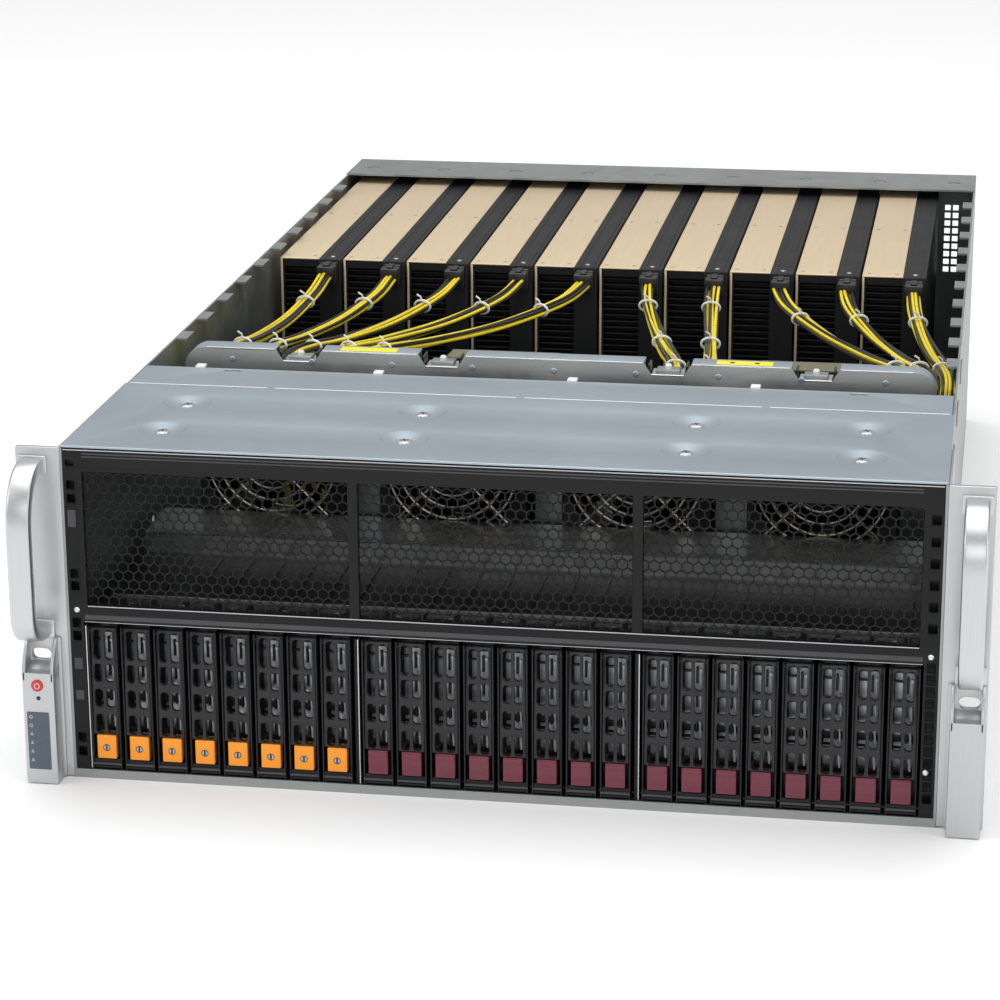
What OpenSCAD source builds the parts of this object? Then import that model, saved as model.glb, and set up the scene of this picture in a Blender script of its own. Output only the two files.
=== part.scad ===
// Rack server, four units high, for ten double-width accelerator cards, opened at the top.
// +X is the right-hand side seen from the front, +Y runs to the rear, +Z is up.
// The origin is the middle of the chassis underside. Depths count from the front plane.

/* [Chassis] */
// Width over the side walls
body_w = 437; // [434:1:440]
// Height over the covers
body_h = 177; // [176:0.5:178]
// Length from the front plane to the rear panel
body_l = 737; // [730:1:760]
// Sheet metal thickness
sheet = 1.2; // [1:0.1:1.4]
// Height of the folded lip along the front edge of the floor
lip_h = 4.7; // [4:0.1:5.4]
// Pitch of the folded tabs along the top of each side wall
tab_pitch = 46; // [40:1:60]
// Length of a folded tab
tab_l = 17; // [12:1:20]
// Radius of the rail screw holes in the side walls
rail_hole_r = 2.15; // [2:0.05:2.5]
// Distance between the two rail screw holes of a side
rail_hole_pitch = 420; // [400:5:440]
// General clearance between pieces that seat without touching
seat = 0.3; // [0.2:0.05:0.4]

/* [Front frame] */
// Depth of the black front frame
frame_d = 12; // [10:0.5:14]
// Thickness of the lip in front of the grilles
frame_lip = 1.5; // [1.2:0.1:2]
// Height of the top rail
rail_top_h = 12; // [10:0.5:14]
// Height of the bar between grilles and drives
rail_mid_h = 9; // [7:0.5:10]
// Width of each post between two grilles
post_w = 5; // [4:0.5:7]
// Rebate round each grille
rebate = 2; // [1.5:0.1:2.2]
// Size of the small slots in the side columns
col_slot_w = 4.4; // [3.6:0.2:5]
col_slot_h = 6; // [5:0.5:7]
// Pitch of the small slots in the side columns
col_slot_pitch = 11; // [9:0.5:14]

/* [Honeycomb grilles] */
// Distance between neighbouring hexagons
hex_pitch = 8.8; // [8:0.1:12]
// Width of the web between two hexagons
hex_web = 1.1; // [0.9:0.1:1.5]
// Thickness of a grille
grille_t = 0.8; // [0.6:0.1:1.2]

/* [Drives] */
// Bays across the front
bays = 3; // [3]
// Drives in each bay
bay_drives = 8; // [8]
// Distance between the middles of two bays
bay_pitch = 141; // [140.6:0.2:142]
// Distance between two drives of a bay
drive_pitch = 17.15; // [17:0.05:17.2]
// Width of a carrier
carrier_w = 15.2; // [14.8:0.1:15.3]
// Height of a carrier
carrier_h = 77; // [76.5:0.1:77.5]
// Depth of the carrier's front part
carrier_d = 11; // [10:0.5:12]
// Thickness of the carrier's cheeks and side plate
cheek = 0.8; // [0.7:0.05:0.9]
// Thickness, height and length of a drive
drive_t = 14; // [13:0.1:14]
drive_h = 69.8; // [69:0.1:70]
drive_l = 100.4; // [99:0.1:101]
// Depth at which the front of a carrier stands back from the front plane
carrier_inset = 0.6; // [0.4:0.1:1]
// Thickness of the lattice lever
lever_t = 4; // [3.4:0.2:4.4]
// Length of the tall slots at the top of the lever
slot_tall = 15.6; // [14:0.2:16]
// Length of the short slots of the lever
slot_short = 9.4; // [8:0.2:9.8]
// Width of the lever's slots
slot_w = 4; // [3.4:0.2:4.4]
// Distance between two rows of short slots
slot_row = 12.4; // [11.6:0.2:12.6]
// Radius of the lever's hinge pin
lever_pin_r = 1.2; // [1:0.1:1.3]
// Running clearance of pins and shafts, on the radius
run_fit = 0.05; // [0.03:0.01:0.08]
// Width and height of the release button
button_w = 10; // [9:0.2:10.4]
button_h = 12.7; // [12:0.1:13]
// Height of the button's lower edge above the carrier's foot
button_z = 5.8; // [5.4:0.1:6.2]
// Travel of the release button
button_travel = 1.5; // [1:0.1:2]
// Height of the guide ribs in the cage
rib_h = 2; // [1.6:0.1:2.4]
// Thickness of the backplane and the main board
board_t = 2; // [1.6:0.1:2.4]

/* [Fans] */
// Fans across, in two rows
fan_cols = 4; // [4]
// Distance between two fans across
fan_pitch = 100; // [98:1:102]
// Edge length of a fan
fan_w = 80; // [78:0.5:80]
// Length of a fan along the air path
fan_d = 38; // [37:0.5:39]
// Depth of the fans' front faces
fan_front = 161; // [160:0.5:163]
// Bore of a fan
fan_bore_r = 38.2; // [37.5:0.1:38.4]
// Gap between blade tips and bore
tip_gap = 0.8; // [0.6:0.1:1.2]
// Radius of the rotor's hub
hub_r = 18; // [16:0.5:20]
// Number of blades
blades = 7; // [5:1:9]
// Angle of a blade to the air path
blade_angle = 52; // [46:1:58]
// Radius of the rotor's shaft
shaft_r = 1.5; // [1.2:0.1:2]
// Height of the spacer between the two rows of fans
fan_spacer = 3.6; // [3:0.2:4.4]

/* [Fan wall beam] */
// Depth of the beam's top flange
beam_d = 13.2; // [12:0.2:15]
// Distance of the beam's rounded ends from the side walls
beam_end_gap = 10; // [8:0.5:14]
// Radius of the beam's rounded ends
beam_end_r = 12; // [10:0.5:16]
// Places of the latch notches, from the middle
notch_in = 62.3; // [60:0.5:66]
notch_out = 142.4; // [140:0.5:146]
// Width at the top, width at the bottom and depth of a notch
notch_top_w = 26; // [24:0.5:28]
notch_bottom_w = 18; // [16:0.5:20]
notch_h = 6.5; // [5.5:0.5:8]

/* [Front cover] */
// Depth of the plain part of the cover
cover_d = 120; // [115:1:124]
// Depth at which the stepped rear strip ends
strip_end = 158; // [156:0.5:159]
// Step down to the strip
strip_step = 0.6; // [0.4:0.1:0.8]
// Radius and depth of a dished screw seat
dish_r = 12; // [10:0.5:13]
dish_h = 2.2; // [1.8:0.1:2.6]
// Radius of a cover screw's head
screw_r = 3.6; // [3:0.1:4]
// Depths of the two rows of dishes
dish_rows = [36.9, 86.6];
// Places of the dishes across, from the middle
dish_out = 175.5; // [170:0.5:180]
dish_in = 51.2; // [48:0.5:56]
dish_mid = 89.5; // [84:0.5:94]

/* [Boards] */
// Depth at which the board deck starts
deck_start = 216; // [215:0.5:220]
// Height of the deck's underside
deck_z = 42.6; // [42.4:0.1:44]
// Length of the board spacers
spacer_h = 6; // [5:0.5:8]
// Height of a card slot
slot_h = 11; // [10:0.5:11.5]
// Depth of the middle of the heatsinks
sink_y = 318; // [312:1:324]
// Distance of each heatsink from the line half-way between them
sink_x = 86.5; // [84:0.5:88]
// Width, length and height of a heatsink
sink_w = 80; // [74:1:84]
sink_l = 108; // [100:1:112]
sink_h = 62; // [50:1:66]
// Number of fins on a heatsink
fins = 26; // [16:1:30]

/* [Cards] */
// Number of cards
cards = 10; // [10]
// Distance between two cards
card_pitch = 40.64; // [40.2:0.02:40.64]
// Width of a card
card_w = 39.2; // [38:0.1:39.4]
// Length of a card
card_l = 267; // [262:1:268]
// Height of the cards' upper edges
card_top = 170.5; // [169:0.5:172]
// Gap between the cards' rear ends and the rear panel
card_rear_gap = 20; // [18:1:22]
// Width of the pale plate on top of a card
plate_w = 25; // [22:0.5:27]
// Thickness of the pale plate
plate_t = 1; // [0.8:0.1:1.2]
// Radius of a card's bundle of power leads
bundle_r = 4.2; // [3:0.1:4.3]

/* [Power supplies] */
// Width, height and length of a supply
psu_w = 73.5; // [72:0.5:74]
psu_h = 40; // [39:0.2:40.4]
psu_l = 265; // [255:1:275]
// Distance between the two supplies of a pair
psu_pitch = 76.5; // [76.2:0.1:78]
// Distance of the middle of a pair from the middle of the chassis
psu_pair_x = 139.5; // [136:0.5:140]
// Width of the port window between the two pairs
port_w = 108; // [100:1:112]

/* [Ears and handles] */
// Width over the ears
rack_w = 482.6; // [482:0.1:483]
// Thickness of the ear plates
ear_t = 3; // [2.5:0.1:3.5]
// Length of an ear's leg along the side wall
ear_leg = 62; // [50:1:70]
// Distance between the rack slots across
rack_pitch = 465.1; // [464.9:0.1:465.3]
// Height of the rack slots' middle above the underside
rack_slot_z = 66.5; // [66:0.1:67]
// Length and half width of a rack slot
rack_slot_l = 10.4; // [9.6:0.1:10.6]
rack_slot_r = 3.2; // [3:0.1:3.6]
// Height and projection of the block at an ear's foot
block_h = 60; // [56:1:62]
block_d = 12; // [10:0.5:13]
// Width of a handle bar
grip_w = 12; // [10:0.5:12.5]
// Heights of a handle's two feet
grip_low = 80.5; // [80:0.5:84]
grip_high = 167; // [160:0.5:170]
// Reach of a handle in front of the ear
grip_reach = 30; // [26:0.5:34]
// Thickness of a handle bar
grip_t = 7; // [6:0.5:8]
// Radius of the power button
power_r = 3.2; // [2.8:0.1:3.6]
// Height of the power button
power_z = 53.5; // [52:0.5:54.5]
// Travel of the power button
power_travel = 1.2; // [0.8:0.1:1.6]
// Length of the power button
power_len = 7; // [6:0.5:8]

/* [Hidden] */
front = -body_l / 2;
wall_in = body_w / 2 - sheet;
wall_top = body_h - sheet;
hook_rows = [92, 176, 262];
hook_t = 0.8;
function dep(d) = front + d;

// Carriers and their cage
car_z = lip_h + 0.4;
bay_half = bay_drives * drive_pitch / 2;
cage_floor = car_z - seat;
cage_roof = car_z + carrier_h + seat;
cage_top = cage_roof + sheet;
cage_x = bay_pitch + bay_half;
conn_l = 4;
drive_gap = 0.4;
backplane_d = carrier_d + drive_gap + drive_l + seat + conn_l;
bridge_d = backplane_d + board_t + seat;
bridge_z = cage_top + 11.4;
lever_a = 0;
lever_b = 8;
lever_w = carrier_w - 2 * cheek - 0.5;
lever_low = button_z + button_h + 0.5;
lever_high = carrier_h - 0.6;
lever_d = carrier_inset + 0.2;
lever_axis_z = lever_high - lever_t / 2 - 0.4;
lever_axis_d = lever_d + lever_t / 2;
button_fit = 0.3;
button_d = carrier_inset - 0.3;
button_back = carrier_d - cheek * 1.5 - button_travel - button_fit;
slot_off = lever_w / 4 - 0.3;
slot_gap = 1.4;

// Windows of the front frame
mid_low = cage_top + 0.8;
mid_high = mid_low + rail_mid_h;
win_top = wall_top - rail_top_h;
win_out = cage_x - 2;
win_z = (mid_high + win_top) / 2;
win_h = win_top - mid_high;
side_win_w = win_out - bay_pitch / 2 - post_w / 2;
side_win_x = (win_out + bay_pitch / 2 + post_w / 2) / 2;
mid_win_w = bay_pitch - post_w;
windows = [[-side_win_x, side_win_w], [0, mid_win_w], [side_win_x, side_win_w]];
hex_r = (hex_pitch - hex_web) / sqrt(3);
hex_row = hex_pitch * sqrt(3) / 2;

// Fans
fan_z = [sheet + fan_w / 2, sheet + fan_w * 1.5 + fan_spacer];
fan_top = sheet + 2 * fan_w + fan_spacer;
fans_x = [for (c = [0 : fan_cols - 1]) (c - (fan_cols - 1) / 2) * fan_pitch];
wall_d = fan_front + fan_d + seat;
blade_r = fan_bore_r - tip_gap;
rotor_front = 4;
rotor_l = 22;
boss_r = hub_r - 2;
boss_front = rotor_front + rotor_l + 0.5;
shaft_l = fan_d - boss_front - 1.5;
latch_x = [-notch_out, -notch_in, notch_in, notch_out];
beam_x = wall_in - beam_end_gap;
beam_low = fan_top - 14;

// Boards
deck_top = deck_z + sheet;
board_z = deck_top + spacer_h;
board_top = board_z + board_t;
board_front = deck_start + 6;
board_back = body_l - sheet - card_rear_gap + 2;
sink_mid = 54.5;
sinks = [sink_mid - sink_x, sink_mid + sink_x];
sink_base = 7;
hood_side = sink_w / 2 + 6;
hood_t = 0.8;
hood_low = 126;
hood_high = 171;
hood_back = sink_y + sink_l / 2 + 4;
memory_pitch = 8;
memory_l = 133;
memory_x = concat([for (k = [0 : 5]) sinks[0] - hood_side - 6 - k * memory_pitch],
    [for (k = [0 : 7]) (sinks[0] + sinks[1]) / 2 + (k - 3.5) * memory_pitch]);

// Supplies
psu_places = [for (s = [-1, 1], e = [-1, 1]) s * psu_pair_x + e * psu_pitch / 2];
bay_walls = [for (s = [-1, 1], e = [-1, 0, 1]) s * psu_pair_x + e * psu_pitch];

// Cards
card_front = body_l - sheet - card_rear_gap - card_l;
card_left = -wall_in + 6;
card_low = board_top + slot_h + seat;
strip_low = 0.5;
lead_x = plate_w + 7;
lead_z = card_top - 8;
function card_x(i) = card_left + i * card_pitch;

// Power leads run from the cards' sockets to sockets on the main board, behind the beam
lead_ends = [-196, -178, -160, -142, -124, 62, 80, 194, 203, 212];
lead_d = 232;
socket_h = 12;
socket_t = 3;
lead_bend = [[0, card_front - socket_t - seat, lead_z], [0, card_front - 17, lead_z], [0.1, 405, 158],
    [0.38, 358, 154], [0.68, 310, 155], [0.9, 272, 159], [1, 246, 159], [1, lead_d, 146],
    [1, lead_d, board_top + socket_h + seat]];

// Ears
ear_low = 0.6;
ear_high = body_h - 1.4;
slot_x = rack_pitch / 2;
ear_in = body_w / 2;
leg_t = 1.5;
block_in = ear_in + 5;
block_out = rack_w / 2 - 1.2;
ramp_h = 15;
pad_top = block_h + ramp_h + 1;
pad_t = 1.5;

// A box from its low corner and its high corner
module span(a, b) {
    translate(a) cube(b - a);
}

// Extrudes a profile in X and Z towards +Y
module along_y(l) {
    translate([0, l, 0]) rotate([90, 0, 0]) linear_extrude(l) children();
}

// Extrudes a profile in Y and Z towards +X
module along_x(l) {
    rotate([90, 0, 90]) linear_extrude(l) children();
}

// A slot with round ends, w across and h high
module slot2d(w, h) {
    square([w, h - w], center = true);
    for (s = [-1, 1]) translate([0, s * (h - w) / 2]) circle(d = w, $fn = 32);
}

// A rectangle with round corners
module round_rect(w, h, r) {
    square([w - 2 * r, h], center = true);
    square([w, h - 2 * r], center = true);
    for (x = [-1, 1], y = [-1, 1]) translate([x * (w / 2 - r), y * (h / 2 - r)]) circle(r, $fn = 48);
}

// Floor and side walls, with the front lip, the folded tabs on top and the rail holes
module chassis_tray() {
    color("silver") difference() {
        union() {
            span([-wall_in - sheet, front, 0], [wall_in + sheet, -front, sheet]);
            span([-wall_in, front, sheet], [wall_in, front + sheet, lip_h]);
            for (s = [-1, 1]) {
                translate([s * (wall_in + sheet / 2), 0, wall_top / 2])
                    cube([sheet, body_l, wall_top], center = true);
                for (y = [dep(strip_end + 70) : tab_pitch : -front - 60])
                    translate([s * (wall_in - 2.5), y, wall_top - sheet / 2]) cube([7, tab_l, sheet], center = true);
                for (d = hook_rows)
                    translate([s * (wall_in + sheet + hook_t / 2), dep(d), wall_top - 14]) cube([hook_t, 20, 9], center = true);
            }
        }
        for (s = [-1, 1], e = [-1, 1])
            translate([s * (wall_in + sheet / 2), e * rail_hole_pitch / 2, body_h / 2])
                rotate([0, 90, 0]) cylinder(r = rail_hole_r, h = 3 * sheet, center = true, $fn = 48);
    }
}

// Rear wall with card windows, supply bays, port window and vents, and the flange over its top
module rear_panel() {
    color("lightgray") difference() {
        union() {
            translate([0, -front - sheet, 0]) along_y(sheet) difference() {
                translate([-wall_in, sheet]) square([2 * wall_in, wall_top - sheet]);
                for (i = [0 : cards - 1])
                    translate([card_x(i) + card_w / 2, (card_low + card_top) / 2])
                        square([card_pitch - 5, card_top - card_low - 12], center = true);
                for (x = psu_places) translate([x, sheet + seat + psu_h / 2])
                    square([psu_w + 2 * seat, psu_h + 2 * seat], center = true);
                translate([0, sheet + 20]) square([port_w, 26], center = true);
                for (i = [0 : 1], j = [0 : 8])
                    translate([wall_in - 17.5 + i * 5.5, 109.8 + j * 5.5]) square(3.9, center = true);
            }
            span([-wall_in - sheet, -front - 53, wall_top], [wall_in + sheet, -front, body_h]);
        }
        for (i = [-4 : 4]) translate([i * 51, -front - 30, body_h - 0.5]) cylinder(r = 4.2, h = 1, $fn = 48);
    }
}

// Deck that carries the main board over the supply bays, with its front flange and bay walls
module board_deck() {
    color("gainsboro") {
        span([-wall_in + seat, dep(deck_start), deck_z], [wall_in - seat, -front - sheet, deck_top]);
        difference() {
            span([-wall_in + seat, dep(deck_start), sheet], [wall_in - seat, dep(deck_start) + sheet, deck_z]);
            for (i = [-9 : 9]) translate([i * 21, dep(deck_start), (sheet + deck_z) / 2])
                cube([16, 3 * sheet, 20], center = true);
        }
        for (x = bay_walls) span([x - sheet / 2, -front - psu_l - 14, sheet], [x + sheet / 2, -front - sheet, deck_z]);
        for (x = [-190 : 76 : 190], d = [246, 420, 560, 690])
            translate([x, dep(d), deck_top]) cylinder(r = 3, h = spacer_h, $fn = 32);
    }
}

// Black frame round the grilles and the drive bays, with small slots down its side columns
module front_frame() {
    color([0.09, 0.09, 0.1]) translate([0, front, 0]) difference() {
        along_y(frame_d) translate([-wall_in, lip_h]) square([2 * wall_in, wall_top - lip_h]);
        translate([0, -1, 0]) along_y(frame_d + 2)
            translate([-cage_x, lip_h - 1]) square([2 * cage_x, mid_low - lip_h + 1]);
        for (w = windows) translate([w[0], -1, win_z]) {
            along_y(frame_d + 2) square([w[1], win_h], center = true);
            translate([0, 1 + frame_lip, 0]) along_y(frame_d)
                square([w[1] + 2 * rebate, win_h + 2 * rebate], center = true);
        }
        for (s = [-1, 1], z = [lip_h + 12 : col_slot_pitch : wall_top - 12])
            translate([s * (wall_in + cage_x) / 2, 0, z])
                cube([col_slot_w, 2, col_slot_h], center = true);
        translate([-wall_in - 1, -1, wall_top - 2]) cube([2 * wall_in + 2, 2, 1.2]);
    }
}

// One honeycomb panel: whole hexagons, and half ones at both ends of every second row
module honeycomb(w, h) {
    nx = floor((w - hex_web) / hex_pitch);
    nz = floor((h - 2 * hex_r - hex_web) / hex_row) + 1;
    difference() {
        square([w + 2 * (rebate - seat), h + 2 * (rebate - seat)], center = true);
        for (j = [0 : nz - 1], i = [0 : nx - 1 - j % 2])
            translate([(i - (nx - 1 - j % 2) / 2) * hex_pitch, (j - (nz - 1) / 2) * hex_row])
                rotate(30) circle(hex_r, $fn = 6);
        for (j = [1 : 2 : nz - 1], s = [-1, 1])
            translate([s * nx / 2 * hex_pitch, (j - (nz - 1) / 2) * hex_row])
                polygon([[0, hex_r], [-s * hex_r * sqrt(3) / 2, hex_r / 2],
                    [-s * hex_r * sqrt(3) / 2, -hex_r / 2], [0, -hex_r]]);
    }
}

// Three honeycomb panels behind the lip of the frame
module intake_grilles() {
    color([0.12, 0.12, 0.13]) for (w = windows)
        translate([w[0], dep(frame_lip), win_z]) along_y(grille_t) honeycomb(w[1], win_h);
}

// Front cover: a plain plate with eight dished screws, stepped down to a narrower strip at its rear
module front_cover() {
    dishes = [for (x = [-dish_out, -dish_in, dish_mid, dish_out], d = dish_rows) [x, dep(d)]];
    color([0.65, 0.7, 0.75]) {
        difference() {
            union() {
                span([-wall_in - sheet, front, wall_top], [wall_in + sheet, dep(cover_d), body_h]);
                span([-wall_in + seat, dep(cover_d), wall_top - strip_step],
                    [wall_in - seat, dep(strip_end), body_h - strip_step]);
            }
            for (p = dishes) translate([p[0], p[1], wall_top - 1]) cylinder(r = dish_r, h = sheet + 2, $fn = 64);
            for (s = [-1, 1]) translate([s * 168, dep(strip_end - 4), wall_top])
                cube([9, 3, 3 * sheet], center = true);
        }
        for (p = dishes) translate([p[0], p[1], body_h]) dish();
    }
}

// A dished seat with its screw; z = 0 is the face of the cover
module dish() {
    rotate_extrude($fn = 64) polygon([[0, -dish_h], [5.5, -dish_h], [dish_r, 0], [dish_r, -sheet],
        [6.2, -dish_h - sheet], [0, -dish_h - sheet]]);
    translate([0, 0, -dish_h]) difference() {
        cylinder(r = screw_r, h = 1.5, $fn = 48);
        translate([0, 0, 0.6]) linear_extrude(1) for (a = [0, 90]) rotate(a) square([4, 0.9], center = true);
    }
}

// Wall behind the fans: round air holes, four latch notches, and a top flange that is seen as a beam
module fan_wall() {
    notch = [[-notch_top_w / 2, body_h + 1], [notch_top_w / 2, body_h + 1], [notch_top_w / 2, body_h - 0.5],
        [notch_bottom_w / 2, body_h - notch_h], [-notch_bottom_w / 2, body_h - notch_h],
        [-notch_top_w / 2, body_h - 0.5]];
    flange_x = beam_x - beam_end_r;
    color([0.6, 0.65, 0.65]) translate([0, dep(wall_d), 0]) {
        along_y(sheet) difference() {
            union() {
                translate([-wall_in + seat, sheet]) square([2 * (wall_in - seat), beam_low - sheet]);
                translate([-beam_x, beam_low - 1]) square([2 * beam_x, body_h - beam_end_r - beam_low + 1]);
                translate([-flange_x, beam_low]) square([2 * flange_x, body_h - beam_low]);
                for (s = [-1, 1]) translate([s * flange_x, body_h - beam_end_r]) circle(beam_end_r, $fn = 64);
            }
            for (x = fans_x, z = fan_z) translate([x, z]) circle(fan_bore_r, $fn = 96);
            for (x = latch_x) translate([x, 0]) polygon(notch);
        }
        difference() {
            span([-flange_x, sheet, wall_top], [flange_x, beam_d, body_h]);
            for (x = latch_x) translate([x, beam_d / 2, body_h]) cube([notch_top_w, 2 * beam_d, 4 * sheet], center = true);
        }
        for (x = latch_x) {
            span([x - notch_bottom_w / 2, sheet, body_h - notch_h - sheet],
                [x + notch_bottom_w / 2, beam_d, body_h - notch_h]);
            translate([x, beam_d * 0.6, body_h - notch_h]) cylinder(r = 2.2, h = 2.4, $fn = 32);
        }
        for (s = [-1, 1]) difference() {
            translate([s * flange_x, 0, body_h - beam_end_r]) rotate([-90, 0, 0])
                cylinder(r = beam_end_r, h = beam_d, $fn = 64);
            translate([s * flange_x, sheet, body_h - beam_end_r]) rotate([-90, 0, 0])
                cylinder(r = beam_end_r - sheet, h = beam_d, $fn = 64);
            translate([s * flange_x, beam_d / 2, body_h - 2 * beam_end_r])
                cube([3 * beam_end_r, 2 * beam_d, 2 * beam_end_r], center = true);
            translate([s * (flange_x - 2 * beam_end_r), beam_d / 2, body_h])
                cube([4 * beam_end_r, 2 * beam_d, 3 * beam_end_r], center = true);
        }
    }
}

// Drive cage: roof, floor and walls with guide ribs, the backplane with its sockets, and the bridge to the fans
module drive_cage() {
    bays_x = [for (b = [0 : bays - 1]) (b - (bays - 1) / 2) * bay_pitch];
    cage_back = backplane_d + board_t;
    color("lightgray") {
        span([-cage_x - sheet, dep(frame_d), cage_roof], [cage_x + sheet, dep(bridge_d), cage_top]);
        span([-cage_x - sheet, dep(frame_d), cage_floor - sheet], [cage_x + sheet, dep(cage_back), cage_floor]);
        for (s = [-1, 1]) {
            span([s * (cage_x + sheet / 2) - sheet / 2, dep(frame_d), sheet],
                [s * (cage_x + sheet / 2) + sheet / 2, dep(cage_back), cage_roof]);
            span([s * bay_pitch / 2 - sheet, dep(carrier_inset), cage_floor],
                [s * bay_pitch / 2 + sheet, dep(backplane_d), cage_roof]);
            span([s * bay_pitch / 2 - sheet, dep(frame_d), sheet],
                [s * bay_pitch / 2 + sheet, dep(cage_back), cage_floor - sheet]);
        }
        for (b = bays_x, i = [1 : bay_drives - 1], z = [cage_floor, cage_roof - rib_h])
            translate([b + (i - bay_drives / 2) * drive_pitch - 0.5, dep(frame_d), z])
                cube([1, backplane_d - frame_d, rib_h]);
        along_bridge();
    }
    color([0.1, 0.35, 0.2]) difference() {
        span([-cage_x + seat, dep(backplane_d), cage_floor + seat], [cage_x - seat, dep(cage_back), cage_roof - seat]);
        for (b = bays_x, i = [0 : bay_drives - 1])
            translate([b + (i - (bay_drives - 1) / 2) * drive_pitch, dep(backplane_d), car_z + carrier_h * 0.72])
                rotate([-90, 0, 0]) linear_extrude(5 * board_t, center = true) slot2d(8, 26);
    }
    color([0.06, 0.06, 0.06]) for (b = bays_x, i = [0 : bay_drives - 1])
        translate([b + (i - (bay_drives - 1) / 2) * drive_pitch, dep(backplane_d) - conn_l / 2, car_z + 22])
            cube([6, conn_l, 33], center = true);
}

// Stepped sheet from the roof of the cage to the fans
module along_bridge() {
    translate([-cage_x - sheet, 0, 0]) along_x(2 * (cage_x + sheet)) translate([front, 0]) polygon([
        [bridge_d - sheet, cage_roof], [bridge_d, cage_roof], [bridge_d, bridge_z - sheet],
        [fan_front - seat, bridge_z - sheet], [fan_front - seat, bridge_z], [bridge_d - sheet, bridge_z]]);
}

// Middle of a carrier across, and its foot
function drive_x(n) = (floor(n / bay_drives) - (bays - 1) / 2) * bay_pitch
    + (n % bay_drives - (bay_drives - 1) / 2) * drive_pitch;

// Lattice lever of a carrier; x = 0 is its middle, y counts from the front plane, z from the carrier's foot
module lever_shape() {
    tall_z = lever_high - slot_gap - slot_tall / 2;
    rows_z = [for (k = [0 : 2]) tall_z - slot_tall / 2 - slot_gap - 0.6 - slot_short / 2 - k * slot_row];
    difference() {
        translate([0, lever_d, 0]) along_y(lever_t) difference() {
            translate([-lever_w / 2, lever_low]) square([lever_w, lever_high - lever_low]);
            for (s = [-1, 1]) {
                translate([s * slot_off, tall_z]) slot2d(slot_w, slot_tall);
                for (z = rows_z) translate([s * slot_off, z]) slot2d(slot_w, slot_short);
            }
        }
        translate([-lever_w, lever_d + lever_t * 0.6, lever_low - 1]) cube([2 * lever_w, lever_t, 2]);
    }
    for (s = [-1, 1]) translate([s * (lever_w / 2 + cheek / 2 + 0.1), lever_axis_d, lever_axis_z])
        rotate([0, 90, 0]) cylinder(r = lever_pin_r, h = cheek + 0.4, center = true, $fn = 32);
}

// Release button of a carrier, in the same frame
module button_shape() {
    difference() {
        translate([-button_w / 2, button_d, button_z]) cube([button_w, button_back - button_d, button_h]);
        translate([0, button_d, button_z + button_h / 2]) rotate([90, 0, 0])
            cylinder(r = 1.9, h = 0.6, center = true, $fn = 32);
    }
}

// Carrier with its drive; the lever and button are added where they have no node of their own
module carrier(n) {
    hw = carrier_w / 2;
    rail = (carrier_h - drive_h) / 2 - 0.2;
    color([0.1, 0.1, 0.11]) difference() {
        union() {
            for (s = [-1, 1]) translate([s * (hw - cheek / 2), 0, 0])
                span([-cheek / 2, carrier_inset, 0], [cheek / 2, carrier_d, carrier_h]);
            span([-hw, carrier_inset + 0.8, 0], [hw, carrier_d, button_z - button_fit]);
            span([-hw, carrier_inset, 2.4], [hw, carrier_d, 3.2]);
            span([-hw, carrier_d - cheek * 1.5, 0], [hw, carrier_d, carrier_h]);
            span([-hw, carrier_d, 0], [hw, carrier_d + drive_l, rail]);
            span([-hw, carrier_d, carrier_h - rail], [hw, carrier_d + drive_l, carrier_h]);
            span([-hw, carrier_d, 0], [-hw + cheek, carrier_d + drive_l, carrier_h]);
        }
        translate([0, lever_axis_d, lever_axis_z]) rotate([0, 90, 0])
            cylinder(r = lever_pin_r + run_fit, h = 2 * carrier_w, center = true, $fn = 32);
        for (z = [30, 50]) translate([0, carrier_d - cheek, z]) cube([lever_w - 3, 4, 16], center = true);
    }
    color([0.55, 0.56, 0.58]) translate([-hw + cheek + 0.1, carrier_d + drive_gap, (carrier_h - drive_h) / 2])
        cube([drive_t, drive_l, drive_h]);
}

module placed(n) {
    translate([drive_x(n), front, car_z]) children();
}

module lever() {
    color([0.12, 0.12, 0.13]) lever_shape();
}

module button(n) {
    color(n < bay_drives ? [1, 0.6, 0.1] : [0.4, 0.12, 0.18]) button_shape();
}

module drive(n) {
    placed(n) {
        carrier(n);
        if (n != lever_a && n != lever_b) {
            lever();
            button(n);
        }
    }
}

// Plan outline of the block at an ear's foot, with its outer edges chamfered; +X points away from the chassis
module block_plan() {
    polygon([[block_in, -pad_t], [block_in, -block_d + 1.5], [block_in + 1.5, -block_d], [block_out - 1.5, -block_d],
        [block_out, -block_d + 1.5], [block_out, -pad_t]]);
}

// Ear on the +X side: plate, leg, pad, and the block whose cheeks slope back above it
module ear() {
    difference() {
        union() {
            span([ear_in, 0, ear_low], [rack_w / 2, ear_t, ear_high]);
            span([ear_in, 0, ear_low], [ear_in + leg_t, ear_leg, ear_high]);
            span([ear_in + 3.6, -pad_t, ear_low], [rack_w / 2 - 0.6, 0, pad_top]);
            intersection() {
                translate([0, 0, ear_low]) linear_extrude(block_h + ramp_h) block_plan();
                translate([block_in - 1, 0, 0]) along_x(block_out - block_in + 2) polygon([[0, ear_low],
                    [-block_d, ear_low], [-block_d, block_h], [-pad_t - 1, block_h + ramp_h], [0, block_h + ramp_h]]);
            }
        }
        span([block_in + 1.8, -block_d - 1, block_h], [block_out - 1.8, -pad_t, block_h + 2 * ramp_h]);
        translate([slot_x, -pad_t - 1, rack_slot_z]) along_y(ear_t + pad_t + 2)
            rotate(90) slot2d(2 * rack_slot_r, rack_slot_l);
    }
}

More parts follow.
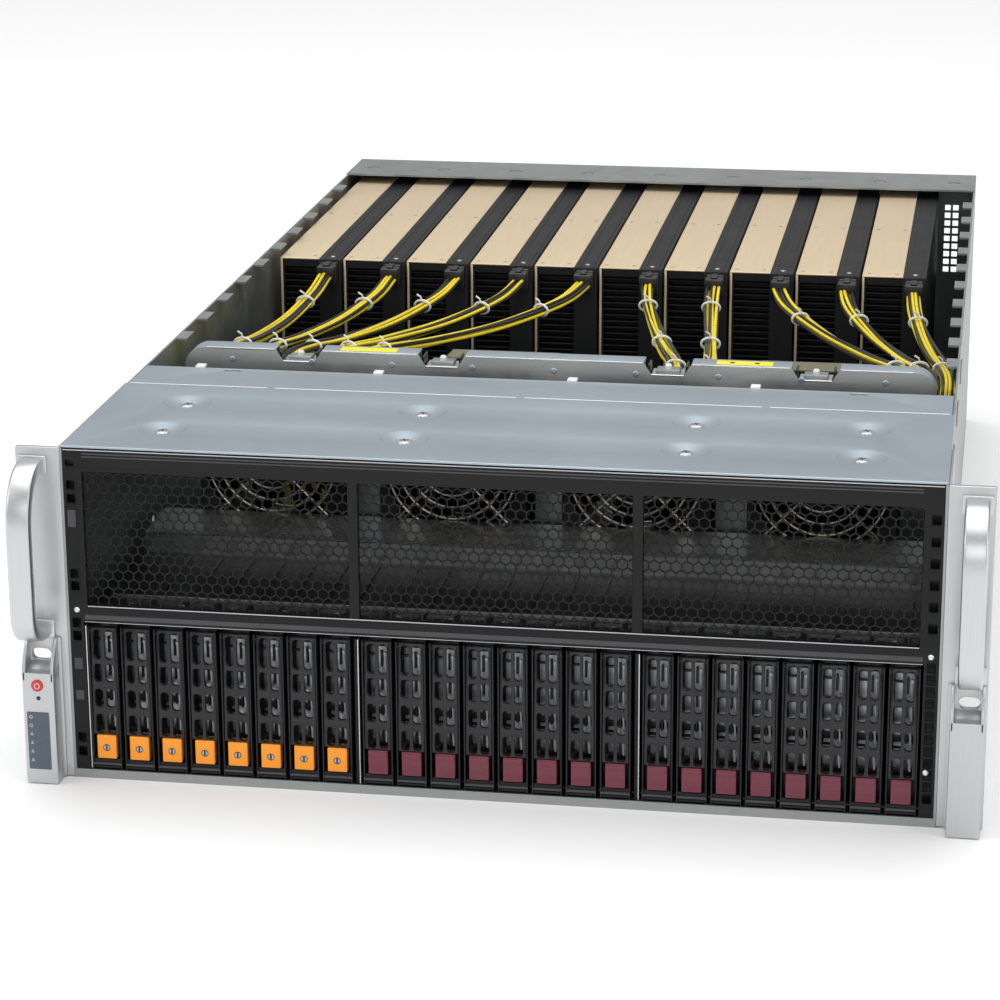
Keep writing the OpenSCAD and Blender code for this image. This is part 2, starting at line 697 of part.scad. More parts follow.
// Left ear: it carries the power button, the reset pinhole and a window of indicators
module left_ear() {
    color([0.72, 0.73, 0.74]) translate([0, front, 0]) difference() {
        mirror([1, 0, 0]) ear();
        translate([-slot_x + 0.4, -block_d / 2 - pad_t, power_z]) rotate([90, 0, 0])
            cylinder(r = power_r + seat / 2, h = block_d, center = true, $fn = 48);
        translate([-slot_x + 0.7, -block_d + 2, power_z - 6.8]) rotate([90, 0, 0])
            cylinder(r = 0.9, h = 6, center = true, $fn = 24);
        translate([-slot_x, -block_d, (block_h - 13) / 2]) cube([11.6, 0.8, 31], center = true);
    }
}

module right_ear() {
    color([0.72, 0.73, 0.74]) translate([0, front, 0]) ear();
}

// Power button: a plain cap on a stem that slides into the left ear
module power_button() {
    color([0.75, 0.1, 0.12]) translate([-slot_x + 0.4, dep(-block_d - 0.8), power_z])
        rotate([-90, 0, 0]) cylinder(r = power_r, h = power_len, $fn = 48);
}

// Two carry handles, each a bent flat bar on two foot plates
module handles() {
    mid = (grip_low + grip_high) / 2;
    tall = grip_high - grip_low;
    color([0.75, 0.76, 0.77]) for (s = [-1, 1]) translate([s * slot_x, front, 0]) {
        translate([-grip_w / 2, 0, mid]) along_x(grip_w) intersection() {
            difference() {
                round_rect(2 * grip_reach, tall + grip_t, 16);
                round_rect(2 * (grip_reach - grip_t), tall - grip_t, 16 - grip_t);
            }
            translate([-grip_reach - 1, -tall]) square([grip_reach + 1 - pad_t, 2 * tall]);
        }
        for (z = [grip_low, grip_high]) translate([0, -pad_t / 2, z])
            cube([grip_w + 3, pad_t, 2 * (grip_low - pad_top)], center = true);
    }
}

// Main board with card slots, lead sockets, processor sockets, and the port block between the supplies
module main_board() {
    color([0.08, 0.3, 0.16]) {
        span([-wall_in + 1, dep(board_front), board_z], [wall_in - 1, dep(board_back), board_top]);
        span([-port_w / 2 + 4, -front - sheet - 150, sheet + 6], [port_w / 2 - 4, -front - sheet - seat, sheet + 8]);
    }
    color([0.05, 0.05, 0.06]) {
        for (i = [0 : cards - 1])
            span([card_x(i) + 4, dep(card_front + 60), board_top],
                [card_x(i) + 11.5, dep(card_front + 150), board_top + slot_h]);
        for (x = lead_ends) translate([x, dep(lead_d), board_top + socket_h / 2])
            cube([8.4, 12, socket_h], center = true);
        for (x = memory_x) translate([x, dep(sink_y), board_top + 2]) cube([6, memory_l + 6, 4], center = true);
    }
    color("silver") {
        for (x = sinks) translate([x, dep(sink_y), board_top + 2]) cube([sink_w - 8, sink_l - 12, 4], center = true);
        for (x = [-40, -18]) translate([x, -front - sheet - 10, sheet + 16]) cube([16, 21, 16], center = true);
        for (x = [8, 24, 42]) translate([x, -front - sheet - 9, sheet + 14.5]) cube([8, 17, 13], center = true);
        for (x = [-30, 30], y = [20, 130]) translate([x, -front - y, sheet]) cylinder(r = 2.5, h = 6, $fn = 32);
    }
}

// Two finned heatsinks
module heatsinks() {
    fin_gap = (sink_w - 1) / (fins - 1);
    color([0.8, 0.8, 0.82]) for (x = sinks) translate([x, dep(sink_y), board_top + 4]) {
        translate([0, 0, sink_base / 2]) cube([sink_w, sink_l, sink_base], center = true);
        for (i = [0 : fins - 1]) translate([-sink_w / 2 + i * fin_gap, -sink_l / 2, sink_base])
            cube([1, sink_l, sink_h - sink_base]);
    }
}

// Memory modules, each an upright board with a strip of chips along both faces
module memory_modules() {
    color([0.1, 0.35, 0.2]) for (x = memory_x) translate([x, dep(sink_y), board_top + 4]) {
        translate([0, 0, 15]) cube([1.3, memory_l, 30], center = true);
        for (k = [-4 : 4]) if (k != 0) translate([0, k * 14, 15]) cube([3.6, 9, 16], center = true);
    }
}

// Air hoods over the heatsinks: high behind the fans, low at the rear, open at both ends and below
module air_shrouds() {
    color([0.42, 0.4, 0.28, 0.8]) for (x = sinks) translate([x, 0, 0]) difference() {
        hood(hood_side, hood_high, hood_low, 0);
        hood(hood_side - hood_t, hood_high - hood_t, hood_low - hood_t, 1);
    }
}

// Solid of an air hood: its side view and its front view, crossed
module hood(half, high, low, past) {
    cut = 16;
    intersection() {
        translate([-half, 0, 0]) along_x(2 * half) translate([front, 0]) polygon([
            [deck_start + 2 - past, board_top + seat - 2 * past], [hood_back + past, board_top + seat - 2 * past],
            [hood_back + past, low], [sink_y - sink_l / 2, low], [deck_start + 20, high],
            [deck_start + 2 - past, high]]);
        translate([0, dep(deck_start) - 5, 0]) along_y(hood_back) polygon([[-half, board_top - 5], [half, board_top - 5],
            [half, high - cut], [half - cut, high], [cut - half, high], [-half, high - cut]]);
    }
}

// Fan frames: two bores in each, a motor boss on four struts, and finger guards in front
module fan_frames() {
    color([0.08, 0.08, 0.09]) for (x = fans_x) translate([x, dep(fan_front), 0]) {
        difference() {
            span([-fan_w / 2, 0, sheet], [fan_w / 2, fan_d, fan_top]);
            for (z = fan_z) translate([0, -1, z]) rotate([-90, 0, 0]) cylinder(r = fan_bore_r, h = fan_d + 2, $fn = 96);
        }
        for (z = fan_z) translate([0, 0, z]) difference() {
            union() {
                translate([0, boss_front, 0]) rotate([-90, 0, 0]) cylinder(r = boss_r, h = fan_d - boss_front, $fn = 64);
                for (a = [45 : 90 : 315]) rotate([0, a, 0]) translate([boss_r - 1, fan_d - 6, -1.5])
                    cube([fan_bore_r - boss_r + 1.5, 6, 3]);
            }
            translate([0, boss_front - 1, 0]) rotate([-90, 0, 0])
                cylinder(r = shaft_r + run_fit, h = shaft_l + 2, $fn = 48);
        }
    }
    color([0.7, 0.66, 0.52]) for (x = fans_x, z = fan_z) translate([x, dep(fan_front), z]) guard();
}

// Finger guard: three rings on four arms
module guard() {
    for (k = [1 : 3]) rotate([-90, 0, 0]) difference() {
        cylinder(r = k * 11 + 0.7, h = 1.4, $fn = 64);
        translate([0, 0, -1]) cylinder(r = k * 11 - 0.7, h = 4, $fn = 64);
    }
    for (a = [45 : 90 : 315]) rotate([0, a, 0]) translate([10.3, 0, -0.7]) cube([fan_bore_r - 9.8, 1.4, 1.4]);
}

// Fan rotor: hub, shaft and pitched blades
module fan_rotor(n) {
    color([0.06, 0.06, 0.07]) translate([fans_x[n % fan_cols], dep(fan_front + rotor_front), fan_z[floor(n / fan_cols)]]) {
        rotate([-90, 0, 0]) cylinder(r = hub_r, h = rotor_l, $fn = 64);
        translate([0, rotor_l - 1, 0]) rotate([-90, 0, 0]) cylinder(r = shaft_r, h = shaft_l + 1, $fn = 48);
        intersection() {
            for (k = [0 : blades - 1]) rotate([0, k * 360 / blades, 0]) blade();
            rotate([-90, 0, 0]) cylinder(r = blade_r, h = rotor_l, $fn = 96);
        }
    }
}

// A curved blade that runs outwards along X, pitched to the air path
module blade() {
    translate([hub_r - 3, rotor_l / 2, 0]) rotate([0, 90, 0]) linear_extrude(blade_r)
        rotate(blade_angle) polygon([[-12, -1.4], [-6, 0.6], [0, 1.4], [6, 1], [12, -1.2], [6, -0.6], [0, -0.3], [-6, -0.8]]);
}

// Cards: finned front, side body up to the pale plate, connector, socket edge and rear bracket
module gpu_cards() {
    body_top = card_top - plate_t;
    color([0.07, 0.07, 0.08]) for (i = [0 : cards - 1]) translate([card_x(i), 0, 0]) {
        difference() {
            translate([0, dep(card_front), 0]) along_y(card_l) polygon([[plate_t, card_low], [card_w, card_low],
                [card_w, card_top - strip_low], [plate_w, card_top - strip_low], [plate_w, body_top],
                [plate_t, body_top]]);
            span([plate_t + 2, dep(card_front) - 1, card_low + 4], [plate_w - 1.5, dep(card_front + 8), body_top - 5]);
            span([plate_t + 3, dep(card_front + card_l - 8), card_low + 8],
                [card_w - 4, dep(card_front + card_l) + 1, card_top - 14]);
        }
        for (z = [card_low + 9 : 7.5 : body_top - 9])
            span([plate_t + 1, dep(card_front + 1.5), z], [plate_w - 1, dep(card_front + 9), z + 1]);
        span([lead_x - 5, dep(card_front - socket_t), lead_z - 6], [lead_x + 5, dep(card_front), lead_z + 6]);
        span([5, dep(card_front + 62), card_low - seat], [10, dep(card_front + 148), card_low + 1]);
    }
    color("silver") for (i = [0 : cards - 1]) translate([card_x(i), 0, 0]) difference() {
        union() {
            span([0.5, -front - 2 * sheet - seat, card_low - 4], [card_w - 0.5, -front - sheet - seat, card_top - 2]);
            for (z = [card_low + 1, card_top - 12])
                span([2, dep(card_front + card_l) - 1, z], [12, -front - 2 * sheet - seat, z + 8]);
        }
        for (x = [9 : 7 : card_w - 6]) translate([x, -front - sheet, (card_low + card_top) / 2])
            rotate([90, 0, 0]) linear_extrude(6 * sheet, center = true) slot2d(3.4, 70);
    }
}

// Pale cover plates, folded over the top and one side of each card
module gpu_plates() {
    color([0.8, 0.73, 0.6]) for (i = [0 : cards - 1]) translate([card_x(i), dep(card_front), 0]) along_y(card_l)
        polygon([[0, card_low], [plate_t, card_low], [plate_t, card_top - plate_t], [plate_w, card_top - plate_t],
            [plate_w, card_top], [0, card_top]]);
}

// Power leads: one bundle for each card, swept along its route
module power_leads() {
    color([0.95, 0.85, 0.1]) for (i = [0 : cards - 1]) {
        a = card_x(i) + lead_x;
        b = lead_ends[i];
        sweep([for (p = lead_bend) [a + (b - a) * p[0], dep(p[1]), p[2]]], bundle_r, 8);
    }
}

// Sweeps an n-sided ring of radius r along points; each ring stands square to the bend there
module sweep(path, r, n) {
    last = len(path) - 1;
    dirs = [for (k = [0 : last]) unit(path[min(k + 1, last)] - path[max(k - 1, 0)])];
    rings = [for (k = [0 : last]) let (u = unit(cross(dirs[k], [0, 0.2, 1])), v = cross(u, dirs[k]))
        for (j = [0 : n - 1]) path[k] + r * (cos(360 * j / n) * u + sin(360 * j / n) * v)];
    sides = [for (k = [0 : last - 1], j = [0 : n - 1])
        [k * n + j, k * n + (j + 1) % n, (k + 1) * n + (j + 1) % n, (k + 1) * n + j]];
    caps = [[for (j = [n - 1 : -1 : 0]) j], [for (j = [0 : n - 1]) last * n + j]];
    polyhedron(rings, concat(sides, caps));
}

function unit(v) = v / norm(v);

// Power supply with its fan grille, inlet, latch and bail at the rear
module psu(n) {
    color([0.62, 0.64, 0.66]) translate([psu_places[n], 0, sheet + seat]) {
        difference() {
            span([-psu_w / 2, -front - psu_l, 0], [psu_w / 2, -front + 1.5, psu_h]);
            translate([-psu_w / 2 + 22, -front + 1.5, psu_h / 2]) rotate([90, 0, 0]) cylinder(r = 17, h = 3, $fn = 64);
            translate([psu_w / 2 - 19, -front + 1.5, psu_h / 2 + 4]) cube([24, 30, 17], center = true);
        }
        for (k = [1 : 3]) translate([-psu_w / 2 + 22, -front + 1, psu_h / 2]) rotate([90, 0, 0]) difference() {
            cylinder(r = k * 5 + 0.8, h = 2.5, $fn = 64);
            translate([0, 0, -1]) cylinder(r = k * 5 - 0.8, h = 5, $fn = 64);
        }
        for (x = [-7, 0, 7]) translate([psu_w / 2 - 19 + x, -front - 9, psu_h / 2 + 4]) cube([2, 12, 5], center = true);
        translate([psu_w / 2 - 19, -front + 1.5, 3]) span([-8, 0, 0], [8, 9, 3]);
        translate([-psu_w / 2 + 22, -front + 1.5, 0]) difference() {
            span([-14, 0, 2], [14, 19, 6.5]);
            span([-10, -1, 0], [10, 15, 8]);
        }
    }
}

chassis_tray();
rear_panel();
board_deck();
front_frame();
front_cover();
fan_wall();
drive_cage();
intake_grilles();
left_ear();
right_ear();
handles();
main_board();
heatsinks();
memory_modules();
air_shrouds();
fan_frames();
gpu_cards();
gpu_plates();
power_leads();
power_button();
placed(lever_a) lever();  // lever_01
placed(lever_a) button(lever_a);  // button_01
placed(lever_b) lever();  // lever_09
placed(lever_b) button(lever_b);  // button_09
drive(0);  // drive_01
drive(1);  // drive_02
drive(2);  // drive_03
drive(3);  // drive_04
drive(4);  // drive_05
drive(5);  // drive_06
drive(6);  // drive_07
drive(7);  // drive_08
drive(8);  // drive_09
drive(9);  // drive_10
drive(10);  // drive_11
drive(11);  // drive_12
drive(12);  // drive_13
drive(13);  // drive_14
drive(14);  // drive_15
drive(15);  // drive_16
drive(16);  // drive_17
drive(17);  // drive_18
drive(18);  // drive_19
drive(19);  // drive_20
drive(20);  // drive_21
drive(21);  // drive_22
drive(22);  // drive_23
drive(23);  // drive_24
fan_rotor(0);  // fan_rotor_1
fan_rotor(1);  // fan_rotor_2
fan_rotor(2);  // fan_rotor_3
fan_rotor(3);  // fan_rotor_4
fan_rotor(4);  // fan_rotor_5
fan_rotor(5);  // fan_rotor_6
fan_rotor(6);  // fan_rotor_7
fan_rotor(7);  // fan_rotor_8
psu(0);  // psu_1
psu(1);  // psu_2
psu(2);  // psu_3
psu(3);  // psu_4
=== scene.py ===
import math
import random

import bmesh
import bpy
from mathutils import Matrix, Vector


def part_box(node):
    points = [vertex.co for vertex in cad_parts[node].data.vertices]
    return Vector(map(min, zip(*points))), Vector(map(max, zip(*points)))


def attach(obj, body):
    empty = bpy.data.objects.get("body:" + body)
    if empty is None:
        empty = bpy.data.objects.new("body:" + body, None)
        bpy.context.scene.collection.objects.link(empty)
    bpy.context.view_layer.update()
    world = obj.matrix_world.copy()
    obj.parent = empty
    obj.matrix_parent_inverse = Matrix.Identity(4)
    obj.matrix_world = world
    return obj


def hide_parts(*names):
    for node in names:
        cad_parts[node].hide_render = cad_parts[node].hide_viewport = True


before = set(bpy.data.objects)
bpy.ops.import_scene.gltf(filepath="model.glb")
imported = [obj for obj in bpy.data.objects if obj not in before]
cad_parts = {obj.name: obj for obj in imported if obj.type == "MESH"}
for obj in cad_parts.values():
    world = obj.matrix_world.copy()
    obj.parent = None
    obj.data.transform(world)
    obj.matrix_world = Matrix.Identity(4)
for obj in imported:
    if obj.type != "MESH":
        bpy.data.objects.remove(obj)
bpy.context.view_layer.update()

mm = 0.001
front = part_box("front_frame")[0].y / mm      # the front plane, in millimetres
random.seed(7)


def depth(d):      # distance behind the front plane to a place along Y
    return front + d


# ---------- shader maths ----------

class Signal:      # a socket that can be used in Python expressions
    def __init__(self, tree, socket):
        self.tree, self.socket = tree, socket

    def maths(self, kind, *others, clamp=False):
        made = self.tree.nodes.new("ShaderNodeMath")
        made.operation, made.use_clamp = kind, clamp
        for spot, value in enumerate(others):
            if isinstance(value, Signal):
                self.tree.links.new(value.socket, made.inputs[spot])
            else:
                made.inputs[spot].default_value = value
        return Signal(self.tree, made.outputs[0])

    def __add__(self, other): return self.maths("ADD", self, other)
    def __radd__(self, other): return self.maths("ADD", other, self)
    def __sub__(self, other): return self.maths("SUBTRACT", self, other)
    def __rsub__(self, other): return self.maths("SUBTRACT", other, self)
    def __mul__(self, other): return self.maths("MULTIPLY", self, other)
    def __rmul__(self, other): return self.maths("MULTIPLY", other, self)
    def __truediv__(self, other): return self.maths("DIVIDE", self, other)
    def __gt__(self, other): return self.maths("GREATER_THAN", self, other)
    def __lt__(self, other): return self.maths("LESS_THAN", self, other)
    def power(self, other): return self.maths("POWER", self, other)
    def wave(self): return self.maths("SINE", self)
    def size(self): return self.maths("ABSOLUTE", self)
    def wrap(self, span): return self.maths("WRAP", self, span, 0.0)
    def inside(self): return self.maths("ADD", self, 0.0, clamp=True)


class Finish:      # one material and its node tree
    def __init__(self, name, look, rough=0.5, metal=0.0, coat=0.0):
        self.made = bpy.data.materials.new(name)
        self.made.use_nodes = True
        self.tree = self.made.node_tree
        self.skin = self.tree.nodes["Principled BSDF"]
        self.give("Base Color", look if len(look) == 4 else (*look, 1))
        self.give("Roughness", rough)
        self.give("Metallic", metal)
        self.give("Coat Weight", coat)
        self.made.diffuse_color = (*look[:3], 1)

    def give(self, name, value):
        if isinstance(value, Signal):
            self.tree.links.new(value.socket, self.skin.inputs[name])
        else:
            self.skin.inputs[name].default_value = value

    def node(self, kind, settings=None, out=0, **inputs):
        made = self.tree.nodes.new("ShaderNode" + kind)
        for name, value in (settings or {}).items():
            if name == "stops":
                for spot, (place, shade) in enumerate(value):
                    stop = made.color_ramp.elements[spot] if spot < 2 else made.color_ramp.elements.new(place)
                    stop.position, stop.color = place, shade if len(shade) == 4 else (*shade, 1)
            else:
                setattr(made, name, value)
        for name, value in inputs.items():
            found = made.inputs[name]
            if isinstance(value, Signal):
                self.tree.links.new(value.socket, found)
            else:
                found.default_value = value
        return Signal(self.tree, made.outputs[out])

    def place(self, stretch=(1, 1, 1)):      # object coordinates, in metres, stretched
        spot = self.node("TexCoord", out=3)
        return self.node("Mapping", Vector=spot, Scale=stretch) if stretch != (1, 1, 1) else spot

    def axes(self):
        split = self.node("SeparateXYZ", Vector=self.place())
        return [Signal(self.tree, split.socket.node.outputs[k]) for k in range(3)]

    def noise(self, scale, detail=3.0, rough=0.5, stretch=(1, 1, 1)):
        return self.node("TexNoise", Vector=self.place(stretch), Scale=scale, Detail=detail, Roughness=rough)

    def cells(self, scale, feature="F1", stretch=(1, 1, 1), out=0):
        return self.node("TexVoronoi", {"feature": feature}, out=out, Vector=self.place(stretch), Scale=scale)

    def blend(self, mask, low, high):      # a colour between two, by mask
        made = self.tree.nodes.new("ShaderNodeMix")
        made.data_type = "RGBA"
        for spot, value in ((0, mask), (6, low), (7, high)):
            if isinstance(value, Signal):
                self.tree.links.new(value.socket, made.inputs[spot])
            elif spot:
                made.inputs[spot].default_value = value if len(value) == 4 else (*value, 1)
            else:
                made.inputs[spot].default_value = value
        return Signal(self.tree, made.outputs[2])

    def bump(self, height, strength=0.2, distance=0.0002):
        self.give("Normal", self.node("Bump", Height=height, Strength=strength, Distance=distance))
        return self


def shade(colour, k):
    return tuple(min(1.0, c * k) for c in colour[:3])


def steelFinish(name, look, rough, spangle=0.06, grain=(1, 1, 1), metal=0.9, bump=0.05):
    made = Finish(name, look, rough, metal)
    flakes = made.cells(160, out=1)
    split = made.node("SeparateColor", Color=flakes)
    cloud = made.noise(9, 4, 0.6, grain)
    patch = split * spangle * 2 + cloud * 0.25
    made.give("Base Color", made.blend(patch.inside(), shade(look, 0.86), shade(look, 1.12)))
    made.give("Roughness", (cloud - 0.5) * 0.16 + rough + split * spangle)
    return made.bump(made.noise(700, 2, 0.5, grain), bump)


def brushedFinish(name, look, rough, along=(1, 60, 60), metal=0.95):
    made = Finish(name, look, rough, metal)
    lines = made.noise(30, 3, 0.6, along)
    cloud = made.noise(14, 3)
    made.give("Base Color", made.blend(lines, shade(look, 0.9), shade(look, 1.08)))
    made.give("Roughness", (lines - 0.5) * 0.14 + (cloud - 0.5) * 0.1 + rough)
    return made.bump(lines, 0.06)


def mouldedFinish(name, look, rough=0.45, grain=900, bump=0.12, wear=0.25, coat=0.0):
    made = Finish(name, look, rough, 0.0, coat)
    speck = made.noise(grain, 2, 0.6)
    cloud = made.noise(40, 3)
    made.give("Base Color", made.blend(cloud, shade(look, 1 - wear), shade(look, 1 + wear)))
    made.give("Roughness", (cloud - 0.5) * 0.2 + rough)
    if max(look) < 0.1:
        made.give("Specular IOR Level", 0.22)
    return made.bump(speck, bump)


def boardFinish(name, look):
    made = Finish(name, look, 0.35, 0.0, 0.3)
    x, y, z = made.axes()
    tracks = (x * 2600).wave() * (y * 420 + made.noise(60, 1) * 9).wave()
    lands = made.cells(260)
    mask = ((tracks > 0.35) * 0.5 + (lands < 0.16) * 0.5).inside()
    made.give("Base Color", made.blend(mask, look, shade(look, 2.1)))
    made.give("Roughness", 0.3 + made.noise(80, 2) * 0.2)
    return made.bump(mask, 0.15)


def wireFinish(name, look, rough=0.32):
    made = Finish(name, look, rough, 0.0, 0.15)
    cloud = made.noise(220, 2)
    made.give("Base Color", made.blend(cloud, shade(look, 0.75), shade(look, 1.15)))
    made.give("Roughness", (cloud - 0.5) * 0.2 + rough)
    return made


def filmFinish(name, look, alpha):
    made = Finish(name, look, 0.22, 0.0, 0.2)
    cloud = made.noise(30, 3)
    made.give("Base Color", made.blend(cloud, shade(look, 0.8), shade(look, 1.25)))
    made.give("Alpha", alpha + (cloud - 0.5) * 0.12)
    made.give("Roughness", 0.16 + cloud * 0.2)
    return made.bump(made.noise(18, 2), 0.25, 0.001)


print("finishes")
looks = {
    "cover": steelFinish("coverSteel", (0.47, 0.54, 0.6), 0.4, 0.02, (1, 1, 1), 0.72, 0.03),
    "galvanised": steelFinish("galvanisedSteel", (0.4, 0.425, 0.42), 0.42, 0.08),
    "bright": steelFinish("brightSteel", (0.75, 0.76, 0.76), 0.26, 0.03),
    "rail": mouldedFinish("blackPaint", (0.009, 0.009, 0.01), 0.4, 1400, 0.1, 0.2),
    "mesh": mouldedFinish("meshPaint", (0.008, 0.008, 0.009), 0.42, 1400, 0.05, 0.2),
    "satin": brushedFinish("satinAluminium", (0.55, 0.56, 0.57), 0.42, (60, 60, 1)),
    "grip": brushedFinish("gripAluminium", (0.6, 0.61, 0.62), 0.34, (60, 60, 1)),
    "board": boardFinish("boardGreen", (0.012, 0.07, 0.035)),
    "fin": brushedFinish("finAluminium", (0.7, 0.7, 0.71), 0.32, (1, 60, 1)),
    "film": filmFinish("hoodFilm", (0.2, 0.19, 0.11), 0.72),
    "carrier": mouldedFinish("carrierPlastic", (0.014, 0.014, 0.016), 0.36, 1100, 0.12, 0.25, 0.1),
    "fan": mouldedFinish("fanPlastic", (0.012, 0.012, 0.014), 0.42),
    "card": mouldedFinish("cardPaint", (0.014, 0.014, 0.016), 0.5, 1600, 0.12),
    "plate": brushedFinish("champagnePlate", (0.7, 0.57, 0.39), 0.46, (40, 1, 40), 0.45),
    "yellow": wireFinish("yellowWire", (0.86, 0.68, 0.02)),
    "black": wireFinish("blackWire", (0.012, 0.012, 0.012)),
    "nylon": mouldedFinish("nylonTie", (0.78, 0.8, 0.8), 0.4, 300, 0.05, 0.05),
    "red": mouldedFinish("redButton", (0.62, 0.02, 0.02), 0.3, 800, 0.05, 0.1, 0.3),
    "orange": mouldedFinish("orangePlastic", (1.0, 0.33, 0.015), 0.38, 900, 0.08, 0.06, 0.1),
    "maroon": mouldedFinish("maroonPlastic", (0.16, 0.025, 0.045), 0.4, 900, 0.1, 0.12, 0.1),
    "supply": steelFinish("supplySteel", (0.56, 0.58, 0.6), 0.38, 0.05),
    "guard": brushedFinish("guardWire", (0.66, 0.6, 0.45), 0.28, (1, 1, 1)),
    "label": mouldedFinish("yellowLabel", (0.85, 0.74, 0.03), 0.5, 500, 0.03, 0.05),
    "window": mouldedFinish("lightWindow", (0.06, 0.085, 0.12), 0.3, 900, 0.05, 0.15, 0.3),
    "ink": mouldedFinish("printedMark", (0.5, 0.52, 0.54), 0.5, 500, 0.03, 0.05),
    "lever": mouldedFinish("leverPlastic", (0.022, 0.022, 0.024), 0.34, 1100, 0.12, 0.2, 0.15),
    "carrierEdge": mouldedFinish("carrierEdge", (0.06, 0.06, 0.065), 0.3, 1100, 0.1, 0.2, 0.2),
    "pipe": mouldedFinish("lightPipe", (0.5, 0.52, 0.54), 0.12, 300, 0.02, 0.1, 0.8),
    "chip": mouldedFinish("chipBlack", (0.02, 0.02, 0.022), 0.4, 900, 0.06),
}
nodeLooks = {
    "chassis_tray": "galvanised", "rear_panel": "galvanised", "board_deck": "galvanised", "front_frame": "rail",
    "front_cover": "cover", "fan_wall": "galvanised", "drive_cage": "bright", "intake_grilles": "mesh",
    "left_ear": "satin", "right_ear": "satin", "handles": "grip", "main_board": "board", "heatsinks": "fin",
    "memory_modules": "board", "air_shrouds": "film", "fan_frames": "fan", "gpu_cards": "card",
    "gpu_plates": "plate", "power_leads": "yellow", "power_button": "red",
    "button_01": "orange", "button_09": "maroon", "lever_01": "carrier", "lever_09": "carrier",
}


def giveLook(thing, name):
    thing.data.materials.clear()
    thing.data.materials.append(looks[name].made)


for nodeName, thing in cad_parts.items():
    giveLook(thing, nodeLooks.get(nodeName) or {"d": "carrier", "f": "fan", "p": "supply"}[nodeName[0]])


# ---------- modelling helpers, all in millimetres ----------

scrap = bpy.data.meshes.new("scrap")
turns = {"Z": Matrix.Identity(4), "-Y": Matrix.Rotation(math.radians(90), 4, "X"),
    "Y": Matrix.Rotation(math.radians(-90), 4, "X"), "X": Matrix.Rotation(math.radians(90), 4, "Y"),
    "-X": Matrix.Rotation(math.radians(-90), 4, "Y")}
upright = Matrix.Rotation(math.radians(90), 4, "X")      # a flat sheet's own plane to X and Z
sideways = Matrix.Rotation(math.radians(90), 4, "Z") @ upright      # and to Y and Z


def addTo(bm, own, spot=None, where=None):      # moves a small mesh into a larger one, in one material slot
    if where is not None:
        bmesh.ops.transform(own, matrix=where, verts=own.verts)
    if spot is not None:
        for face in own.faces:
            face.material_index = spot
    own.to_mesh(scrap)
    own.free()
    bm.from_mesh(scrap)


def block(bm, low, high, edge=0.2, spot=0, turn=None, steps=1):
    own = bmesh.new()
    bmesh.ops.create_cube(own, size=1)
    size = [abs(b - a) for a, b in zip(low, high)]
    bmesh.ops.scale(own, vec=size, verts=own.verts)
    edge = min(edge, min(size) * 0.4)
    if edge > 0.02:
        bmesh.ops.bevel(own, geom=list(own.edges), offset=edge, offset_type="OFFSET", segments=steps, profile=0.5,
                        affect="EDGES", clamp_overlap=True, material=-1)
    middle = Matrix.Translation([(a + b) / 2 for a, b in zip(low, high)])
    addTo(bm, own, spot, middle @ Matrix.Rotation(turn[0], 4, turn[1]) if turn else middle)


def rod(bm, start, end, radius, sides=16, spot=0, tip=None):
    own = bmesh.new()
    start, end = Vector(start), Vector(end)
    run = end - start
    bmesh.ops.create_cone(own, cap_ends=True, segments=sides, radius1=radius, radius2=radius if tip is None else tip,
                          depth=run.length)
    addTo(bm, own, spot, Matrix.Translation((start + end) / 2) @ run.to_track_quat("Z", "Y").to_matrix().to_4x4())


def lathe(bm, profile, centre, axis="Z", sides=32, spot=0):      # profile: (radius, height) pairs, spun about an axis
    own = bmesh.new()
    line = [own.verts.new((r, 0, h)) for r, h in profile]
    for a, b in zip(line, line[1:]):
        own.edges.new((a, b))
    bmesh.ops.spin(own, geom=list(own.verts) + list(own.edges), cent=(0, 0, 0), axis=(0, 0, 1), angle=math.tau,
                   steps=sides, use_merge=True, use_duplicate=False)
    bmesh.ops.remove_doubles(own, verts=own.verts, dist=1e-4)
    bmesh.ops.recalc_face_normals(own, faces=own.faces)
    addTo(bm, own, spot, Matrix.Translation(centre) @ turns[axis])


def circle(x, y, r, sides=32):
    return [(x + r * math.cos(math.tau * k / sides), y + r * math.sin(math.tau * k / sides)) for k in range(sides)]


def rectangle(x0, y0, x1, y1, r=0.0, steps=4):      # a rectangle's outline, with round corners
    if r <= 0:
        return [(x0, y0), (x1, y0), (x1, y1), (x0, y1)]
    made = []
    for cx, cy, base in ((x1 - r, y0 + r, -90), (x1 - r, y1 - r, 0), (x0 + r, y1 - r, 90), (x0 + r, y0 + r, 180)):
        for k in range(steps + 1):
            a = math.radians(base + 90 * k / steps)
            made.append((cx + r * math.cos(a), cy + r * math.sin(a)))
    return made


def cutSheet(outlines, thick, edge=0.12, steps=1):      # a flat sheet with holes, centred on its own plane
    flat = bpy.data.curves.new("cut", "CURVE")
    flat.dimensions, flat.fill_mode = "2D", "BOTH"
    flat.extrude, flat.bevel_depth, flat.bevel_resolution, flat.offset = thick / 2 - edge, edge, steps - 1, -edge
    for points in outlines:
        line = flat.splines.new("POLY")
        line.points.add(len(points) - 1)
        for spot, (x, y) in zip(line.points, points):
            spot.co = (x, y, 0, 1)
        line.use_cyclic_u = True
    held = bpy.data.objects.new("cut", flat)
    bpy.context.scene.collection.objects.link(held)
    bpy.context.view_layer.update()
    mesh = bpy.data.meshes.new_from_object(held.evaluated_get(bpy.context.evaluated_depsgraph_get()))
    bpy.data.objects.remove(held)
    bpy.data.curves.remove(flat)
    bm = bmesh.new()
    bm.from_mesh(mesh)
    bmesh.ops.remove_doubles(bm, verts=bm.verts, dist=1e-4)
    bmesh.ops.recalc_face_normals(bm, faces=bm.faces)
    bm.to_mesh(mesh)
    bm.free()
    return mesh


